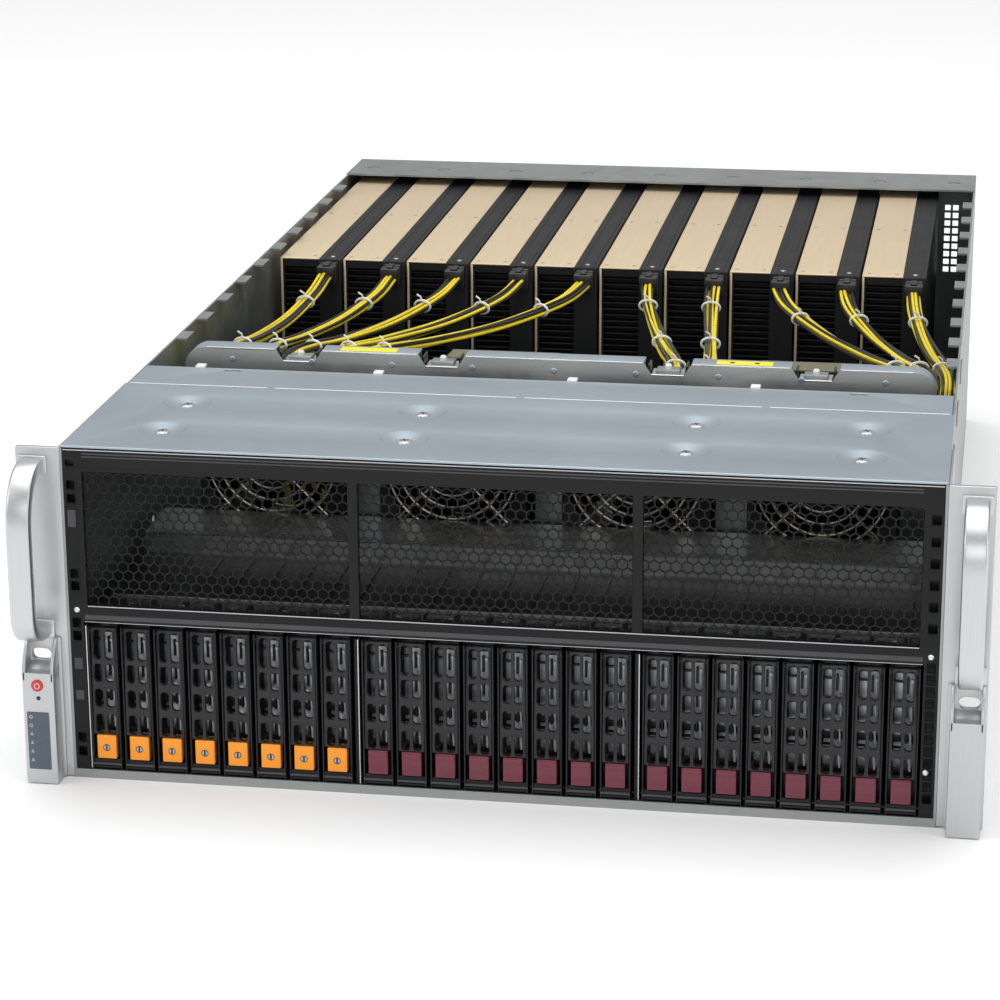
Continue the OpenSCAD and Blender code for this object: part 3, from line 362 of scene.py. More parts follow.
def stamp(bm, mesh, place=(0, 0, 0), turn=None, spot=None, shift=0):      # adds a copy of a mesh
    own = bmesh.new()
    own.from_mesh(mesh)
    if shift:
        for face in own.faces:
            face.material_index += shift
    addTo(bm, own, spot, Matrix.Translation(place) @ (turn or Matrix.Identity(4)))


def tube(bm, points, radius, sides=8, spot=0):      # a round wire along points; its rings keep one upward side
    own = bmesh.new()
    points = [Vector(p) for p in points]
    rings = []
    for k, here in enumerate(points):
        run = (points[min(k + 1, len(points) - 1)] - points[max(k - 1, 0)]).normalized()
        across = run.cross(Vector((0.02, 0.17, 1))).normalized()
        over = across.cross(run)
        made = bmesh.ops.create_circle(own, segments=sides, radius=radius)["verts"]
        bmesh.ops.transform(own, matrix=Matrix.Translation(here) @ Matrix((across, over, -run)).transposed().to_4x4(), verts=made)
        rings.append(list({e for v in made for e in v.link_edges}))
    for a, b in zip(rings, rings[1:]):
        bmesh.ops.bridge_loops(own, edges=a + b)
    for end in (rings[0], rings[-1]):
        bmesh.ops.contextual_create(own, geom=end)
    bmesh.ops.recalc_face_normals(own, faces=own.faces)
    addTo(bm, own, spot)


def keepMesh(bm, name):
    mesh = bpy.data.meshes.new(name)
    bm.to_mesh(mesh)
    bm.free()
    return mesh


def finishPiece(name, bm, body, finishes, replaces=(), sharp=32, close=True):
    if close:
        bmesh.ops.remove_doubles(bm, verts=bm.verts, dist=1e-5)
    bmesh.ops.recalc_face_normals(bm, faces=bm.faces)
    bmesh.ops.scale(bm, vec=(mm, mm, mm), verts=bm.verts)
    mesh = keepMesh(bm, name)
    for look in finishes:
        mesh.materials.append(looks[look].made)
    for face in mesh.polygons:
        face.use_smooth = True
    mesh.set_sharp_from_angle(angle=math.radians(sharp))
    piece = bpy.data.objects.new(name, mesh)
    bpy.context.scene.collection.objects.link(piece)
    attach(piece, body)
    if replaces:
        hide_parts(*replaces)
    return piece


# ---------- drive carriers ----------

print("drive carriers")
drives = {"bays": 3, "inBay": 8, "bayPitch": 141.0, "pitch": 17.15, "foot": 5.1, "wide": 15.2, "tall": 77.0,
    "deep": 11.0, "cheek": 0.8, "setBack": 0.6, "driveLong": 100.4, "driveTall": 69.8, "driveThick": 14.0,
    "leverLow": 18.9, "leverHigh": 76.4, "leverFront": 0.8, "leverThick": 4.0, "slotWide": 4.3,
    "tallSlot": 15.8, "shortSlot": 9.7, "slotPitch": 13.85, "slotOff": 3.0, "tabLow": 5.8, "tabTall": 12.7, "tabWide": 10.0}


def driveMiddle(n):
    return ((n // drives["inBay"] - (drives["bays"] - 1) / 2) * drives["bayPitch"]
            + (n % drives["inBay"] - (drives["inBay"] - 1) / 2) * drives["pitch"])


def leverMesh():
    s = drives
    half = (s["wide"] - 2 * s["cheek"] - 0.5) / 2
    top = s["leverHigh"] - 1.3 - s["tallSlot"] / 2
    rows = [(top, s["tallSlot"])]
    for k in range(3):
        rows.append((top - s["tallSlot"] / 2 - 2.3 - s["shortSlot"] / 2 - k * s["slotPitch"] * 0.985, s["shortSlot"]))
    holes = []
    for z, high in rows:
        for sign in (-1, 1):
            x = sign * s["slotOff"]
            radius = s["slotWide"] / 2 - 0.05 if high > 12 else 1.75
            low = z - high / 2
            if z == rows[-1][0]:
                low = s["leverLow"] + 0.5
            holes.append(rectangle(x - s["slotWide"] / 2, low, x + s["slotWide"] / 2, z + high / 2, radius, 5))
    outline = rectangle(-half, s["leverLow"], half, s["leverHigh"], 0.4, 2)
    face = cutSheet([outline] + holes, s["leverThick"] * 0.62, 0.32, 2)
    bm = bmesh.new()
    stamp(bm, face, (0, s["leverFront"] + s["leverThick"] * 0.31, 0), upright)
    for v in bm.verts:      # the top of the lever rolls back
        over = max(0.0, v.co.z - (s["leverHigh"] - 4.2)) / 4.2
        v.co.y += 1.5 * over ** 2.2
    for sign in (-1, 1):
        rod(bm, (sign * (half - 0.3), s["leverFront"] + 2, 74.0), (sign * (half + 0.75), s["leverFront"] + 2, 74.0), 1.15, 20)
        block(bm, (sign * half - (0.7 if sign > 0 else 0), s["leverFront"] + 2.2, s["leverLow"] + 1),
              (sign * half + (0 if sign > 0 else 0.7), s["leverFront"] + 3.9, s["leverHigh"] - 2), 0.15)
    return keepMesh(bm, "leverShape")


def tabMesh(marked):
    s = drives
    half = s["tabWide"] / 2
    low, high = s["tabLow"], s["tabLow"] + s["tabTall"]
    bm = bmesh.new()
    block(bm, (-half, 0.3, low), (half, 8.0, high), 0.55, 0, steps=3)
    if marked:
        middle = low + s["tabTall"] / 2 - 0.3
        lathe(bm, [(1.45, -0.2), (1.45, 0.12), (1.85, 0.12), (1.85, -0.2), (1.45, -0.2)], (0, 0.3, middle), "-Y", 28, 1)
        lathe(bm, [(0, 0.06), (1.45, 0.06), (1.45, -0.2), (0, -0.2)], (0, 0.3, middle), "-Y", 24, 2)
        block(bm, (-0.5, 0.12, middle - 1.3), (0.5, 0.4, middle + 1.3), 0.1, 1)
    else:
        block(bm, (-half + 0.2, -0.15, high - 3.0), (half - 0.2, 1.0, high - 0.5), 0.4, 0, steps=2)
        for k in range(3):
            block(bm, (-half + 1.6, 0.08, low + 2.2 + k * 1.5), (half - 1.6, 0.8, low + 2.8 + k * 1.5), 0.15, 0)
    return keepMesh(bm, "tabShape")


def carrierMesh():
    s = drives
    half, deep = s["wide"] / 2, s["deep"]
    rail = (s["tall"] - s["driveTall"]) / 2 - 0.2
    bm = bmesh.new()
    for sign in (-1, 1):
        x = sorted((sign * half, sign * (half - s["cheek"])))
        block(bm, (x[0], s["setBack"], 0), (x[1], deep, s["tall"]), 0.22, steps=2)
    block(bm, (-half + 0.2, 1.5, 0.1), (half - 0.2, deep, 5.2), 0.3)
    block(bm, (-half + 0.1, s["setBack"] - 0.1, 2.2), (half - 0.1, 3, 3.4), 0.3, 3, steps=2)
    block(bm, (-half + 1.2, s["setBack"] + 0.5, 0.4), (half - 1.2, 2.4, 1.6), 0.2)
    back = [rectangle(-half, 0, half, s["tall"])]
    back += [rectangle(-4.8, z, 4.8, z + 15, 1.2, 3) for z in (20, 38, 56)]
    stamp(bm, cutSheet(back, 1.0, 0.1), (0, deep - 0.6, 0), upright)
    block(bm, (-half, deep, 0), (half, deep + s["driveLong"], rail), 0.3)
    block(bm, (-half, deep, s["tall"] - rail), (half, deep + s["driveLong"], s["tall"]), 0.3)
    block(bm, (-half, deep, 0), (-half + s["cheek"], deep + s["driveLong"], s["tall"]), 0.2)
    low = (s["tall"] - s["driveTall"]) / 2
    block(bm, (-half + s["cheek"] + 0.1, deep + 0.4, low),
          (-half + s["cheek"] + 0.1 + s["driveThick"], deep + 0.4 + s["driveLong"], low + s["driveTall"]), 0.8, 1, steps=2)
    for z in (26.5, 40, 53.5, 66):      # light pipe behind the right-hand slots, with its clips
        rod(bm, (3.7, 5.6, z - 5), (3.2, 6.2, z + 3.5), 0.55, 8, 2)
        lathe(bm, [(0, 1.1), (0.8, 0.8), (1.05, 0), (0.8, -0.8), (0, -1.1)], (3.6, 5.2, z + 2.8), "Z", 10, 2)
        block(bm, (1.0, 6.4, z - 4.6), (2.2, 8, z + 4), 0.2)
    for k in range(5):
        block(bm, (-5.5, 7, 21 + k * 11.5), (-0.8, 9, 22 + k * 11.5), 0.15)
    return keepMesh(bm, "carrierShape")


leverShape, carrierShape = leverMesh(), carrierMesh()
tabShapes = [tabMesh(True), tabMesh(False)]
splitDrives = (0, 8)      # their lever and tab move on their own
for n in range(drives["bays"] * drives["inBay"]):
    label = f"{n + 1:02d}"
    place = (driveMiddle(n), front, drives["foot"])
    colour = "orange" if n < drives["inBay"] else "maroon"
    bm = bmesh.new()
    stamp(bm, carrierShape, place)
    if n in splitDrives:
        finishPiece(f"carrier_{label}", bm, f"drive_{label}", ["carrier", "supply", "pipe", "carrierEdge"],
                    [f"drive_{label}"])
        bm = bmesh.new()
        stamp(bm, leverShape, place)
        finishPiece(f"carrierLever_{label}", bm, f"lever_{label}", ["lever"], [f"lever_{label}"])
        bm = bmesh.new()
        stamp(bm, tabShapes[n >= drives["inBay"]], place)
        finishPiece(f"carrierTab_{label}", bm, f"button_{label}", [colour, "black", "ink"], [f"button_{label}"])
        continue
    stamp(bm, leverShape, place, spot=4)
    stamp(bm, tabShapes[n >= drives["inBay"]], place, shift=5)
    finishPiece(f"carrier_{label}", bm, f"drive_{label}",
                ["carrier", "supply", "pipe", "carrierEdge", "lever", colour, "black", "ink"],
                [f"drive_{label}"])


# ---------- honeycomb grilles ----------

print("honeycomb grilles")
grille = {"pitch": 5.3, "web": 0.72, "thick": 0.8, "lip": 1.5, "rebate": 1.7, "low": 93.4, "high": 163.8,
    "posts": 70.5, "post": 5.0, "outer": 207.6}
mids = grille["posts"] + grille["post"] / 2
windowSpans = [(-grille["outer"], -mids), (-grille["posts"] + grille["post"] / 2, grille["posts"] - grille["post"] / 2),
    (mids, grille["outer"])]


def honeycomb(bm, x0, x1, z0, z1):
    g = grille
    radius = g["pitch"] / math.sqrt(3)
    rowStep = g["pitch"] * math.sqrt(3) / 2
    across, rows = round((x1 - x0) / g["pitch"]), round((z1 - z0) / rowStep)
    pitch = (x1 - x0) / across
    for row in range(-1, rows + 2):
        for k in range(-1, across + 2):
            x = x0 + (k + (0.5 if row % 2 else 0.0) + 0.5) * pitch
            z = z0 + (row + 0.5) * rowStep
            size = Matrix.Diagonal((pitch / g["pitch"] * 1.0004, 1, 1.0004, 1))
            bmesh.ops.create_circle(bm, cap_ends=True, segments=6, radius=radius,
                                    matrix=Matrix.Translation((x, 0, z)) @ size @ upright)
    cells = list(bm.faces)
    bmesh.ops.inset_individual(bm, faces=cells, thickness=g["web"] / 2, use_even_offset=True)
    bmesh.ops.delete(bm, geom=cells, context="FACES")
    for point, way in (((x0, 0, z0), (-1, 0, 0)), ((x1, 0, z1), (1, 0, 0)), ((x0, 0, z0), (0, 0, -1)), ((x1, 0, z1), (0, 0, 1))):
        bmesh.ops.bisect_plane(bm, geom=list(bm.verts) + list(bm.edges) + list(bm.faces), dist=1e-4,
                               plane_co=point, plane_no=way, clear_outer=True)
    bmesh.ops.remove_doubles(bm, verts=bm.verts, dist=0.02)
    rim = g["rebate"]
    for low, high in (((x0 - rim, z0 - rim), (x1 + rim, z0 + 0.3)), ((x0 - rim, z1 - 0.3), (x1 + rim, z1 + rim)),
                      ((x0 - rim, z0 + 0.3), (x0 + 0.3, z1 - 0.3)), ((x1 - 0.3, z0 + 0.3), (x1 + rim, z1 - 0.3))):
        corners = [bm.verts.new((x, 0, z)) for x, z in ((low[0], low[1]), (high[0], low[1]), (high[0], high[1]), (low[0], high[1]))]
        bm.faces.new(corners)


for side, (x0, x1) in zip(("left", "middle", "right"), windowSpans):
    bm = bmesh.new()
    honeycomb(bm, x0, x1, grille["low"], grille["high"])
    bmesh.ops.recalc_face_normals(bm, faces=bm.faces)
    bmesh.ops.solidify(bm, geom=list(bm.faces), thickness=grille["thick"])
    lowest = min(v.co.y for v in bm.verts)
    bmesh.ops.translate(bm, verts=bm.verts, vec=(0, depth(grille["lip"]) - lowest, 0))
    finishPiece(f"grille_{side}", bm, "chassis", ["mesh"], ["intake_grilles"] if side == "left" else (), close=False)


print("front frame")
plate = {"half": 217.3, "low": 4.7, "high": 175.3, "bayHalf": 209.9, "bayTop": 84.4, "thick": 1.3, "deep": 11.8,
    "column": 213.6, "holeWide": 4.4, "ladderTop": 83.0, "ladderPitch": 6.2, "ladderHigh": 5.2}
leftHoles = [(168.0, 3.2), (156.5, 4.6), (149.5, 4.6), (110.0, 4.8), (103.5, 4.8), (84.0, 5.0), (77.0, 5.0), (22.0, 5.0), (14.5, 5.0)]
leftPads = [(139.0, 9.0), (62.0, 6.0), (45.0, 5.0)]
rightHoles = [(plate["ladderTop"] - k * plate["ladderPitch"], plate["ladderHigh"]) for k in range(12)]
rightHoles += [(158.0 - k * 11.0, 5.0) for k in range(6)]
outline = [(-plate["half"], plate["low"]), (-plate["bayHalf"], plate["low"]), (-plate["bayHalf"], plate["bayTop"]),
    (plate["bayHalf"], plate["bayTop"]), (plate["bayHalf"], plate["low"]), (plate["half"], plate["low"]),
    (plate["half"], plate["high"]), (-plate["half"], plate["high"])]
holes = [rectangle(x0, grille["low"], x1, grille["high"], 0.8, 2) for x0, x1 in windowSpans]
for sign, rows in ((-1, leftHoles), (1, rightHoles)):
    for z, high in rows:
        x = sign * plate["column"]
        holes.append(rectangle(x - plate["holeWide"] / 2, z - high / 2, x + plate["holeWide"] / 2, z + high / 2, 0.5, 2))
bm = bmesh.new()
stamp(bm, cutSheet([outline] + holes, plate["thick"], 0.28, 2), (0, depth(0.1 + plate["thick"] / 2), 0), upright)
for low, high in (((-209, 85.0), (209, 91.4)), ((-216.5, 165.8), (216.5, 175.0)), ((-71, 91.4), (-70, 165.8)), ((70, 91.4), (71, 165.8))):
    block(bm, (low[0], depth(2.5), low[1]), (high[0], depth(plate["deep"]), high[1]), 0.4)
for sign in (-1, 1):
    x = sorted((sign * 210.9, sign * 217.0))
    block(bm, (x[0], depth(6.0), plate["low"]), (x[1], depth(plate["deep"]), 174.0), 0.4)
for z in (173.0, 171.5):      # two beads along the top rail
    rod(bm, (-207, depth(0.12), z), (207, depth(0.12), z), 0.42, 12, 1)
block(bm, (-216.8, depth(0.0), 174.5), (216.8, depth(0.9), 175.05), 0.12, 2)
block(bm, (-207.4, depth(-0.05), 92.75), (207.4, depth(0.5), 93.25), 0.1, 2)
block(bm, (-209.4, depth(-0.1), 86.0), (209.4, depth(0.6), 88.6), 0.35, 1, steps=2)
block(bm, (-209.4, depth(-0.02), 84.5), (209.4, depth(0.6), 84.8), 0.1, 2)
for z, high in leftPads:
    block(bm, (-215.8, depth(-0.15), z - high / 2), (-211.6, depth(0.4), z + high / 2), 0.25, 1)
for x, z in ((-213.2, 90.8), (213.2, 88.5), (212.6, 28.5)):      # small screws of the columns
    lathe(bm, [(0, 0.9), (1.0, 0.75), (1.5, 0.2), (1.5, -0.4), (0, -0.4)], (x, depth(0.05), z), "-Y", 20, 3)
finishPiece("frontFrame", bm, "chassis", ["rail", "carrierEdge", "supply", "bright"], ["front_frame"])

print("drive cage")
cage = {"half": 210.8, "wall": 209.6, "roof": 82.4, "roofTop": 83.6, "floor": 4.8, "back": 116.1, "bridgeZ": 95.0,
    "bridgeD": 118.0, "fans": 160.7, "sheet": 1.2, "start": 12.0}
bm = bmesh.new()
block(bm, (-cage["half"], depth(cage["start"]), cage["roof"]), (cage["half"], depth(cage["bridgeD"]), cage["roofTop"]), 0.25)
block(bm, (-cage["half"], depth(cage["start"]), cage["floor"] - cage["sheet"]), (cage["half"], depth(117.6), cage["floor"]), 0.25, 1)
for n in range(24):      # ribs pressed into the roof, one above each drive
    x = driveMiddle(n)
    block(bm, (x - 1.6, depth(16), cage["roofTop"] - 0.3), (x + 1.6, depth(110), cage["roofTop"] + 1.0), 0.7, 0, steps=2)
for sign in (-1, 1):
    x = sorted((sign * cage["wall"], sign * cage["half"]))
    block(bm, (x[0], depth(cage["start"]), 1.3), (x[1], depth(117.6), cage["roof"]), 0.25)
    middle = sign * 70.5
    block(bm, (middle - 1.1, depth(1.6), cage["floor"]), (middle + 1.1, depth(cage["back"]), cage["roof"]), 0.25)
    block(bm, (middle - 1.1, depth(cage["start"]), 1.3), (middle + 1.1, depth(117.6), cage["floor"] - cage["sheet"]), 0.2)
for x in (-209.3, -69.35, 71.65):      # folded bright edge on the left of each bay
    block(bm, (x - 0.25, depth(0.7), 5.2), (x + 0.25, depth(4.5), 82.2), 0.08, 2)
for b in range(3):
    for k in range(1, 8):
        x = (b - 1) * drives["bayPitch"] + (k - 4) * drives["pitch"]
        for low, high in ((cage["floor"] - 0.1, cage["floor"] + 1.8), (cage["roof"] - 1.8, cage["roof"] + 0.1)):
            block(bm, (x - 0.45, depth(cage["start"]), low), (x + 0.45, depth(cage["back"]), high), 0.15)
block(bm, (-cage["half"], depth(cage["bridgeD"] - 1.2), cage["roofTop"] - 0.4), (cage["half"], depth(cage["bridgeD"]), cage["bridgeZ"]), 0.3, 2)
block(bm, (-cage["half"], depth(cage["bridgeD"] - 1.2), cage["bridgeZ"] - 1.2), (cage["half"], depth(cage["fans"]), cage["bridgeZ"]), 0.4, 2)
block(bm, (-207, depth(40), cage["roofTop"]), (207, depth(41.2), cage["roofTop"] + 2.4), 0.3, 2)
for x0, x1 in windowSpans:
    for k in range(5):      # studs along the front of the roof
        x = x0 + (k + 0.5) / 5 * (x1 - x0)
        lathe(bm, [(0, 1.3), (1.4, 1.1), (2.1, 0.5), (2.3, -0.4), (0, -0.4)], (x, depth(31), cage["roofTop"]), "Z", 18, 2)
slots = [rectangle(driveMiddle(n) - 4, 52, driveMiddle(n) + 4, 72, 4, 5) for n in range(24)]
stamp(bm, cutSheet([rectangle(-209.2, 5.2, 209.2, 82.0)] + slots, 1.5, 0.1), (0, depth(cage["back"] + 0.8), 0), upright, 3)
for n in range(24):
    x = driveMiddle(n)
    block(bm, (x - 3, depth(112.3), 10.6), (x + 3, depth(116.3), 43.4), 0.4, 4)
finishPiece("driveCage", bm, "chassis", ["rail", "galvanised", "bright", "board", "black"], ["drive_cage"])

print("fans")
fans = {"middles": (-150, -50, 50, 150), "heights": (41.2, 124.8), "front": 161, "deep": 38, "wide": 80,
    "bore": 38.2, "hub": 18, "low": 1.2, "high": 164.8, "vanes": 11, "wire": 0.75}
vane = bmesh.new()
block(vane, (fans["hub"] - 4, -5, -0.7), (fans["bore"] + 0.6, 5, 0.7), 0.3, 0, (math.radians(38), "X"))
vane = keepMesh(vane, "vaneShape")
bm = bmesh.new()
for x in fans["middles"]:
    half = fans["wide"] / 2
    corners = rectangle(x - half, fans["low"], x + half, fans["high"], 3.0, 4)
    bores = [circle(x, z, fans["bore"], 64) for z in fans["heights"]]
    screws = [circle(x + sx * (half - 4.5), z + sz * (half - 4.5), 2.2, 16) for z in fans["heights"] for sx in (-1, 1) for sz in (-1, 1)]
    stamp(bm, cutSheet([corners] + bores + screws, 4.0, 0.4, 2), (x * 0, depth(fans["front"] + 2.0), 0), upright)
    stamp(bm, cutSheet([corners] + bores + screws, 4.0, 0.4, 2), (0, depth(fans["front"] + fans["deep"] - 2.0), 0), upright)
    for z in fans["heights"]:
        lathe(bm, [(fans["bore"], 3.8), (fans["bore"] + 1.3, 3.8), (fans["bore"] + 1.3, fans["deep"] - 3.8),
                   (fans["bore"], fans["deep"] - 3.8), (fans["bore"], 3.8)], (x, depth(fans["front"]), z), "Y", 64)
        lathe(bm, [(0, 28.2), (fans["hub"] - 3, 28.2), (fans["hub"] - 2, 29.2), (fans["hub"] - 2, fans["deep"] - 0.4),
                   (0, fans["deep"] - 0.4)], (x, depth(fans["front"]), z), "Y", 40)
        for k in range(fans["vanes"]):
            stamp(bm, vane, (x, depth(fans["front"] + fans["deep"] - 5.5), z), Matrix.Rotation(math.tau * (k + 0.3) / fans["vanes"], 4, "Y"))
        ring = [(math.cos(math.tau * k / 8), math.sin(math.tau * k / 8)) for k in range(9)]
        for radius in (9.5, 16, 22.5, 29, 35.5):
            lathe(bm, [(radius + fans["wire"] * c, fans["wire"] * s) for c, s in ring], (x, depth(fans["front"] - 0.6), z), "Y", 56, 1)
        for a in (45, 135, 225, 315):
            way = Vector((math.cos(math.radians(a)), 0, math.sin(math.radians(a))))
            base = Vector((x, depth(fans["front"] + 0.5), z))
            rod(bm, base + way * 8.5, base + way * (fans["bore"] + 5.5), fans["wire"], 8, 1)
finishPiece("fanFrames", bm, "chassis", ["fan", "guard"], ["fan_frames"])


print("front cover")
cover = {"half": 218.5, "deep": 120, "strip": 158, "top": 177.0, "sheet": 1.2, "step": 0.6,
    "rows": (36.9, 86.6), "across": (-175.5, -51.2, 89.5, 175.5), "dish": 12.0, "sink": 2.2}
dishes = [(x, depth(d)) for x in cover["across"] for d in cover["rows"]]
middleZ = cover["top"] - cover["sheet"] / 2
bm = bmesh.new()
outline = rectangle(-cover["half"], depth(0), cover["half"], depth(cover["deep"] - 0.4), 0.8, 3)
stamp(bm, cutSheet([outline] + [circle(x, y, cover["dish"], 64) for x, y in dishes], cover["sheet"], 0.42, 3), (0, 0, middleZ))
for x, y in dishes:
    sink, rim = -cover["sink"], cover["dish"] + 0.05
    lathe(bm, [(0, sink), (5.2, sink), (6.0, sink + 0.12), (rim - 1.2, -0.22), (rim, -0.02), (rim, -0.9), (rim - 1.4, -1.2),
               (6.4, sink - 1.1), (0, sink - 1.1)], (x, y, cover["top"]), "Z", 64)
    lathe(bm, [(0, 1.3), (2.6, 1.2), (3.7, 0.7), (3.9, 0.1), (3.9, -0.3), (0, -0.3)], (x, y, cover["top"] + sink), "Z", 32, 1)
    # two thin black bars on each screw head stand for its cross recess: painted shade, the head is not cut
    for turn in (20, 110):
        block(bm, (x - 2.1, y - 0.4, cover["top"] + sink + 1.0), (x + 2.1, y + 0.4, cover["top"] + sink + 1.32), 0.05, 2,
              (math.radians(turn), "Z"))
slits = [rectangle(s * 168 - 4.5, depth(cover["strip"] - 5.5), s * 168 + 4.5, depth(cover["strip"] - 2.5), 0.4, 2) for s in (-1, 1)]
strip = cutSheet([rectangle(-217.0, depth(cover["deep"] + 0.2), 217.0, depth(cover["strip"]), 0.5, 2)] + slits, cover["sheet"], 0.35, 2)
stamp(bm, strip, (0, 0, middleZ - cover["step"]))
for x0, x1 in ((-216, -141), (-137, -8), (-4, 120), (124, 216)):      # folded edge at the seam, in lighter steel: a painted highlight along the fold
    block(bm, (x0, depth(cover["deep"] - 0.1), cover["top"] - 0.5), (x1, depth(cover["deep"] + 0.5), cover["top"] + 0.02), 0.15, 1)
for x in (-187.5, -89.3, 15.9, 113.4):      # small clips at the rear edge of the strip
    block(bm, (x - 2.6, depth(cover["strip"] - 1.0), 175.2), (x + 2.6, depth(cover["strip"] + 5.2), 177.3), 0.5, 3, steps=2)
finishPiece("coverPlate", bm, "chassis", ["cover", "bright", "black", "nylon"], ["front_cover"])

print("fan wall")
beam = {"d": 161 + 38 + 0.3, "deep": 13.2, "half": 217.3 - 10, "round": 12,
    "low": 150.8, "top": 177.0, "sheet": 1.2, "notchTop": 26, "notchLow": 18, "notchHigh": 6.5,
    "notches": (-142.4, -62.3, 62.3, 142.4)}
flat = beam["half"] - beam["round"]
outline = [(-217.0, 1.3), (217.0, 1.3), (217.0, beam["low"]), (beam["half"], beam["low"])]
for k in range(9):
    a = math.radians(90 * k / 8)
    outline.append((flat + beam["round"] * math.cos(a), beam["top"] - beam["round"] + beam["round"] * math.sin(a)))
for x in reversed(beam["notches"]):
    outline += [(x + beam["notchTop"] / 2, beam["top"]), (x + beam["notchLow"] / 2, beam["top"] - beam["notchHigh"]),
        (x - beam["notchLow"] / 2, beam["top"] - beam["notchHigh"]), (x - beam["notchTop"] / 2, beam["top"])]
for k in range(9):
    a = math.radians(90 + 90 * k / 8)
    outline.append((-flat + beam["round"] * math.cos(a), beam["top"] - beam["round"] + beam["round"] * math.sin(a)))
outline += [(-beam["half"], beam["low"]), (-217.0, beam["low"])]
bm = bmesh.new()
bores = [circle(x, z, fans["bore"], 64) for x in fans["middles"] for z in fans["heights"]]
stamp(bm, cutSheet([outline] + bores, beam["sheet"], 0.3, 2), (0, depth(beam["d"] + beam["sheet"] / 2), 0), upright)
edges = [-flat] + [x + s * beam["notchTop"] / 2 for x in beam["notches"] for s in (-1, 1)] + [flat]
back = depth(beam["d"] + beam["deep"])
for x0, x1 in zip(edges[::2], edges[1::2]):
    block(bm, (x0, depth(beam["d"] + 0.6), beam["top"] - beam["sheet"]), (x1, back, beam["top"]), 0.3, 1, steps=2)
    # a thin strip of lighter steel along the top front edge of each beam length: painted highlight on that edge
    block(bm, (x0 + 0.5, depth(beam["d"] - 0.12), beam["top"] - 1.0), (x1 - 0.5, depth(beam["d"] + 0.5), beam["top"] + 0.05), 0.15, 2)
    block(bm, (x0 + 0.3, back - 1.1, beam["top"] - 7.0), (x1 - 0.3, back, beam["top"] - 0.6), 0.3, 1)
for s in (-1, 1):
    outer = [(s * (flat + beam["round"] * math.sin(math.radians(10 * k))), beam["top"] - beam["round"] * (1 - math.cos(math.radians(10 * k)))) for k in range(10)]
    thin = beam["round"] - beam["sheet"]
    inner = [(s * (flat + thin * math.sin(math.radians(10 * k))), beam["top"] - beam["round"] + thin * math.cos(math.radians(10 * k))) for k in range(10)]
    stamp(bm, cutSheet([outer + inner[::-1]], beam["deep"] - 0.6, 0.2), (0, depth(beam["d"] + 0.6 + (beam["deep"] - 0.6) / 2), 0), upright, 1)
for x in beam["notches"]:
    low, half = beam["top"] - beam["notchHigh"], beam["notchLow"] / 2
    # lighter steel along the floor of each notch: painted highlight
    block(bm, (x - half, depth(beam["d"] - 0.1), low - 1.0), (x + half, back, low + 0.15), 0.25, 2)
    block(bm, (x - half + 2.5, depth(beam["d"] + 3.0), low), (x + half - 2.5, back - 1.5, low + 2.0), 0.5, 0, steps=2)
    lathe(bm, [(0, 3.4), (1.3, 3.1), (1.9, 2.2), (1.9, 0), (0, 0)], (x, depth(beam["d"] + 6.5), low + 1.5), "Z", 20, 3)
    # black strips at the slanted sides of each notch: painted shadow on those sides
    for s in (-1, 1):
        block(bm, (x + s * (half + 1.2) - 0.6, depth(beam["d"] + 1.0), low), (x + s * (half + 1.2) + 0.6, back - 1.0, beam["top"] - 1.4), 0.2, 4)
for x0, x1 in ((-119.5, -88.0), (88.5, 119.0)):      # plain yellow strips
    block(bm, (x0, depth(beam["d"] + 2.0), beam["top"] - 0.05), (x1, depth(beam["d"] + 10.0), beam["top"] + 0.22), 0.08, 5)
for x in (97.0, 110.5):
    lathe(bm, [(0, 0.3), (1.5, 0.3), (1.5, 0), (0, 0)], (x, depth(beam["d"] + 6.0), beam["top"]), "Z", 20, 4)
for k in range(9):      # small rivets along the beam
    x = -180 + k * 45
    lathe(bm, [(0, 0.55), (1.2, 0.45), (1.7, 0.05), (1.7, -0.2), (0, -0.2)], (x, depth(beam["d"]), beam["top"] - 6.5), "-Y", 18, 1)
finishPiece("fanBeam", bm, "chassis", ["galvanised", "cover", "bright", "nylon", "black", "label"], ["fan_wall"])


print("ears and handles")
ear = {"in": 218.5, "out": 241.3, "thick": 3.0, "low": 0.6, "high": 175.6, "slotX": 232.55, "slotZ": 66.5, "slotHalf": 5.2,
    "slotRound": 3.2, "blockIn": 223.5, "blockOut": 240.1, "blockHigh": 60.0, "reach": 12.0, "pad": 1.5, "padTop": 76.0, "cheek": 1.8}
rackSlot = rectangle(ear["slotX"] - ear["slotHalf"], ear["slotZ"] - ear["slotRound"], ear["slotX"] + ear["slotHalf"],
                     ear["slotZ"] + ear["slotRound"], ear["slotRound"], 8)


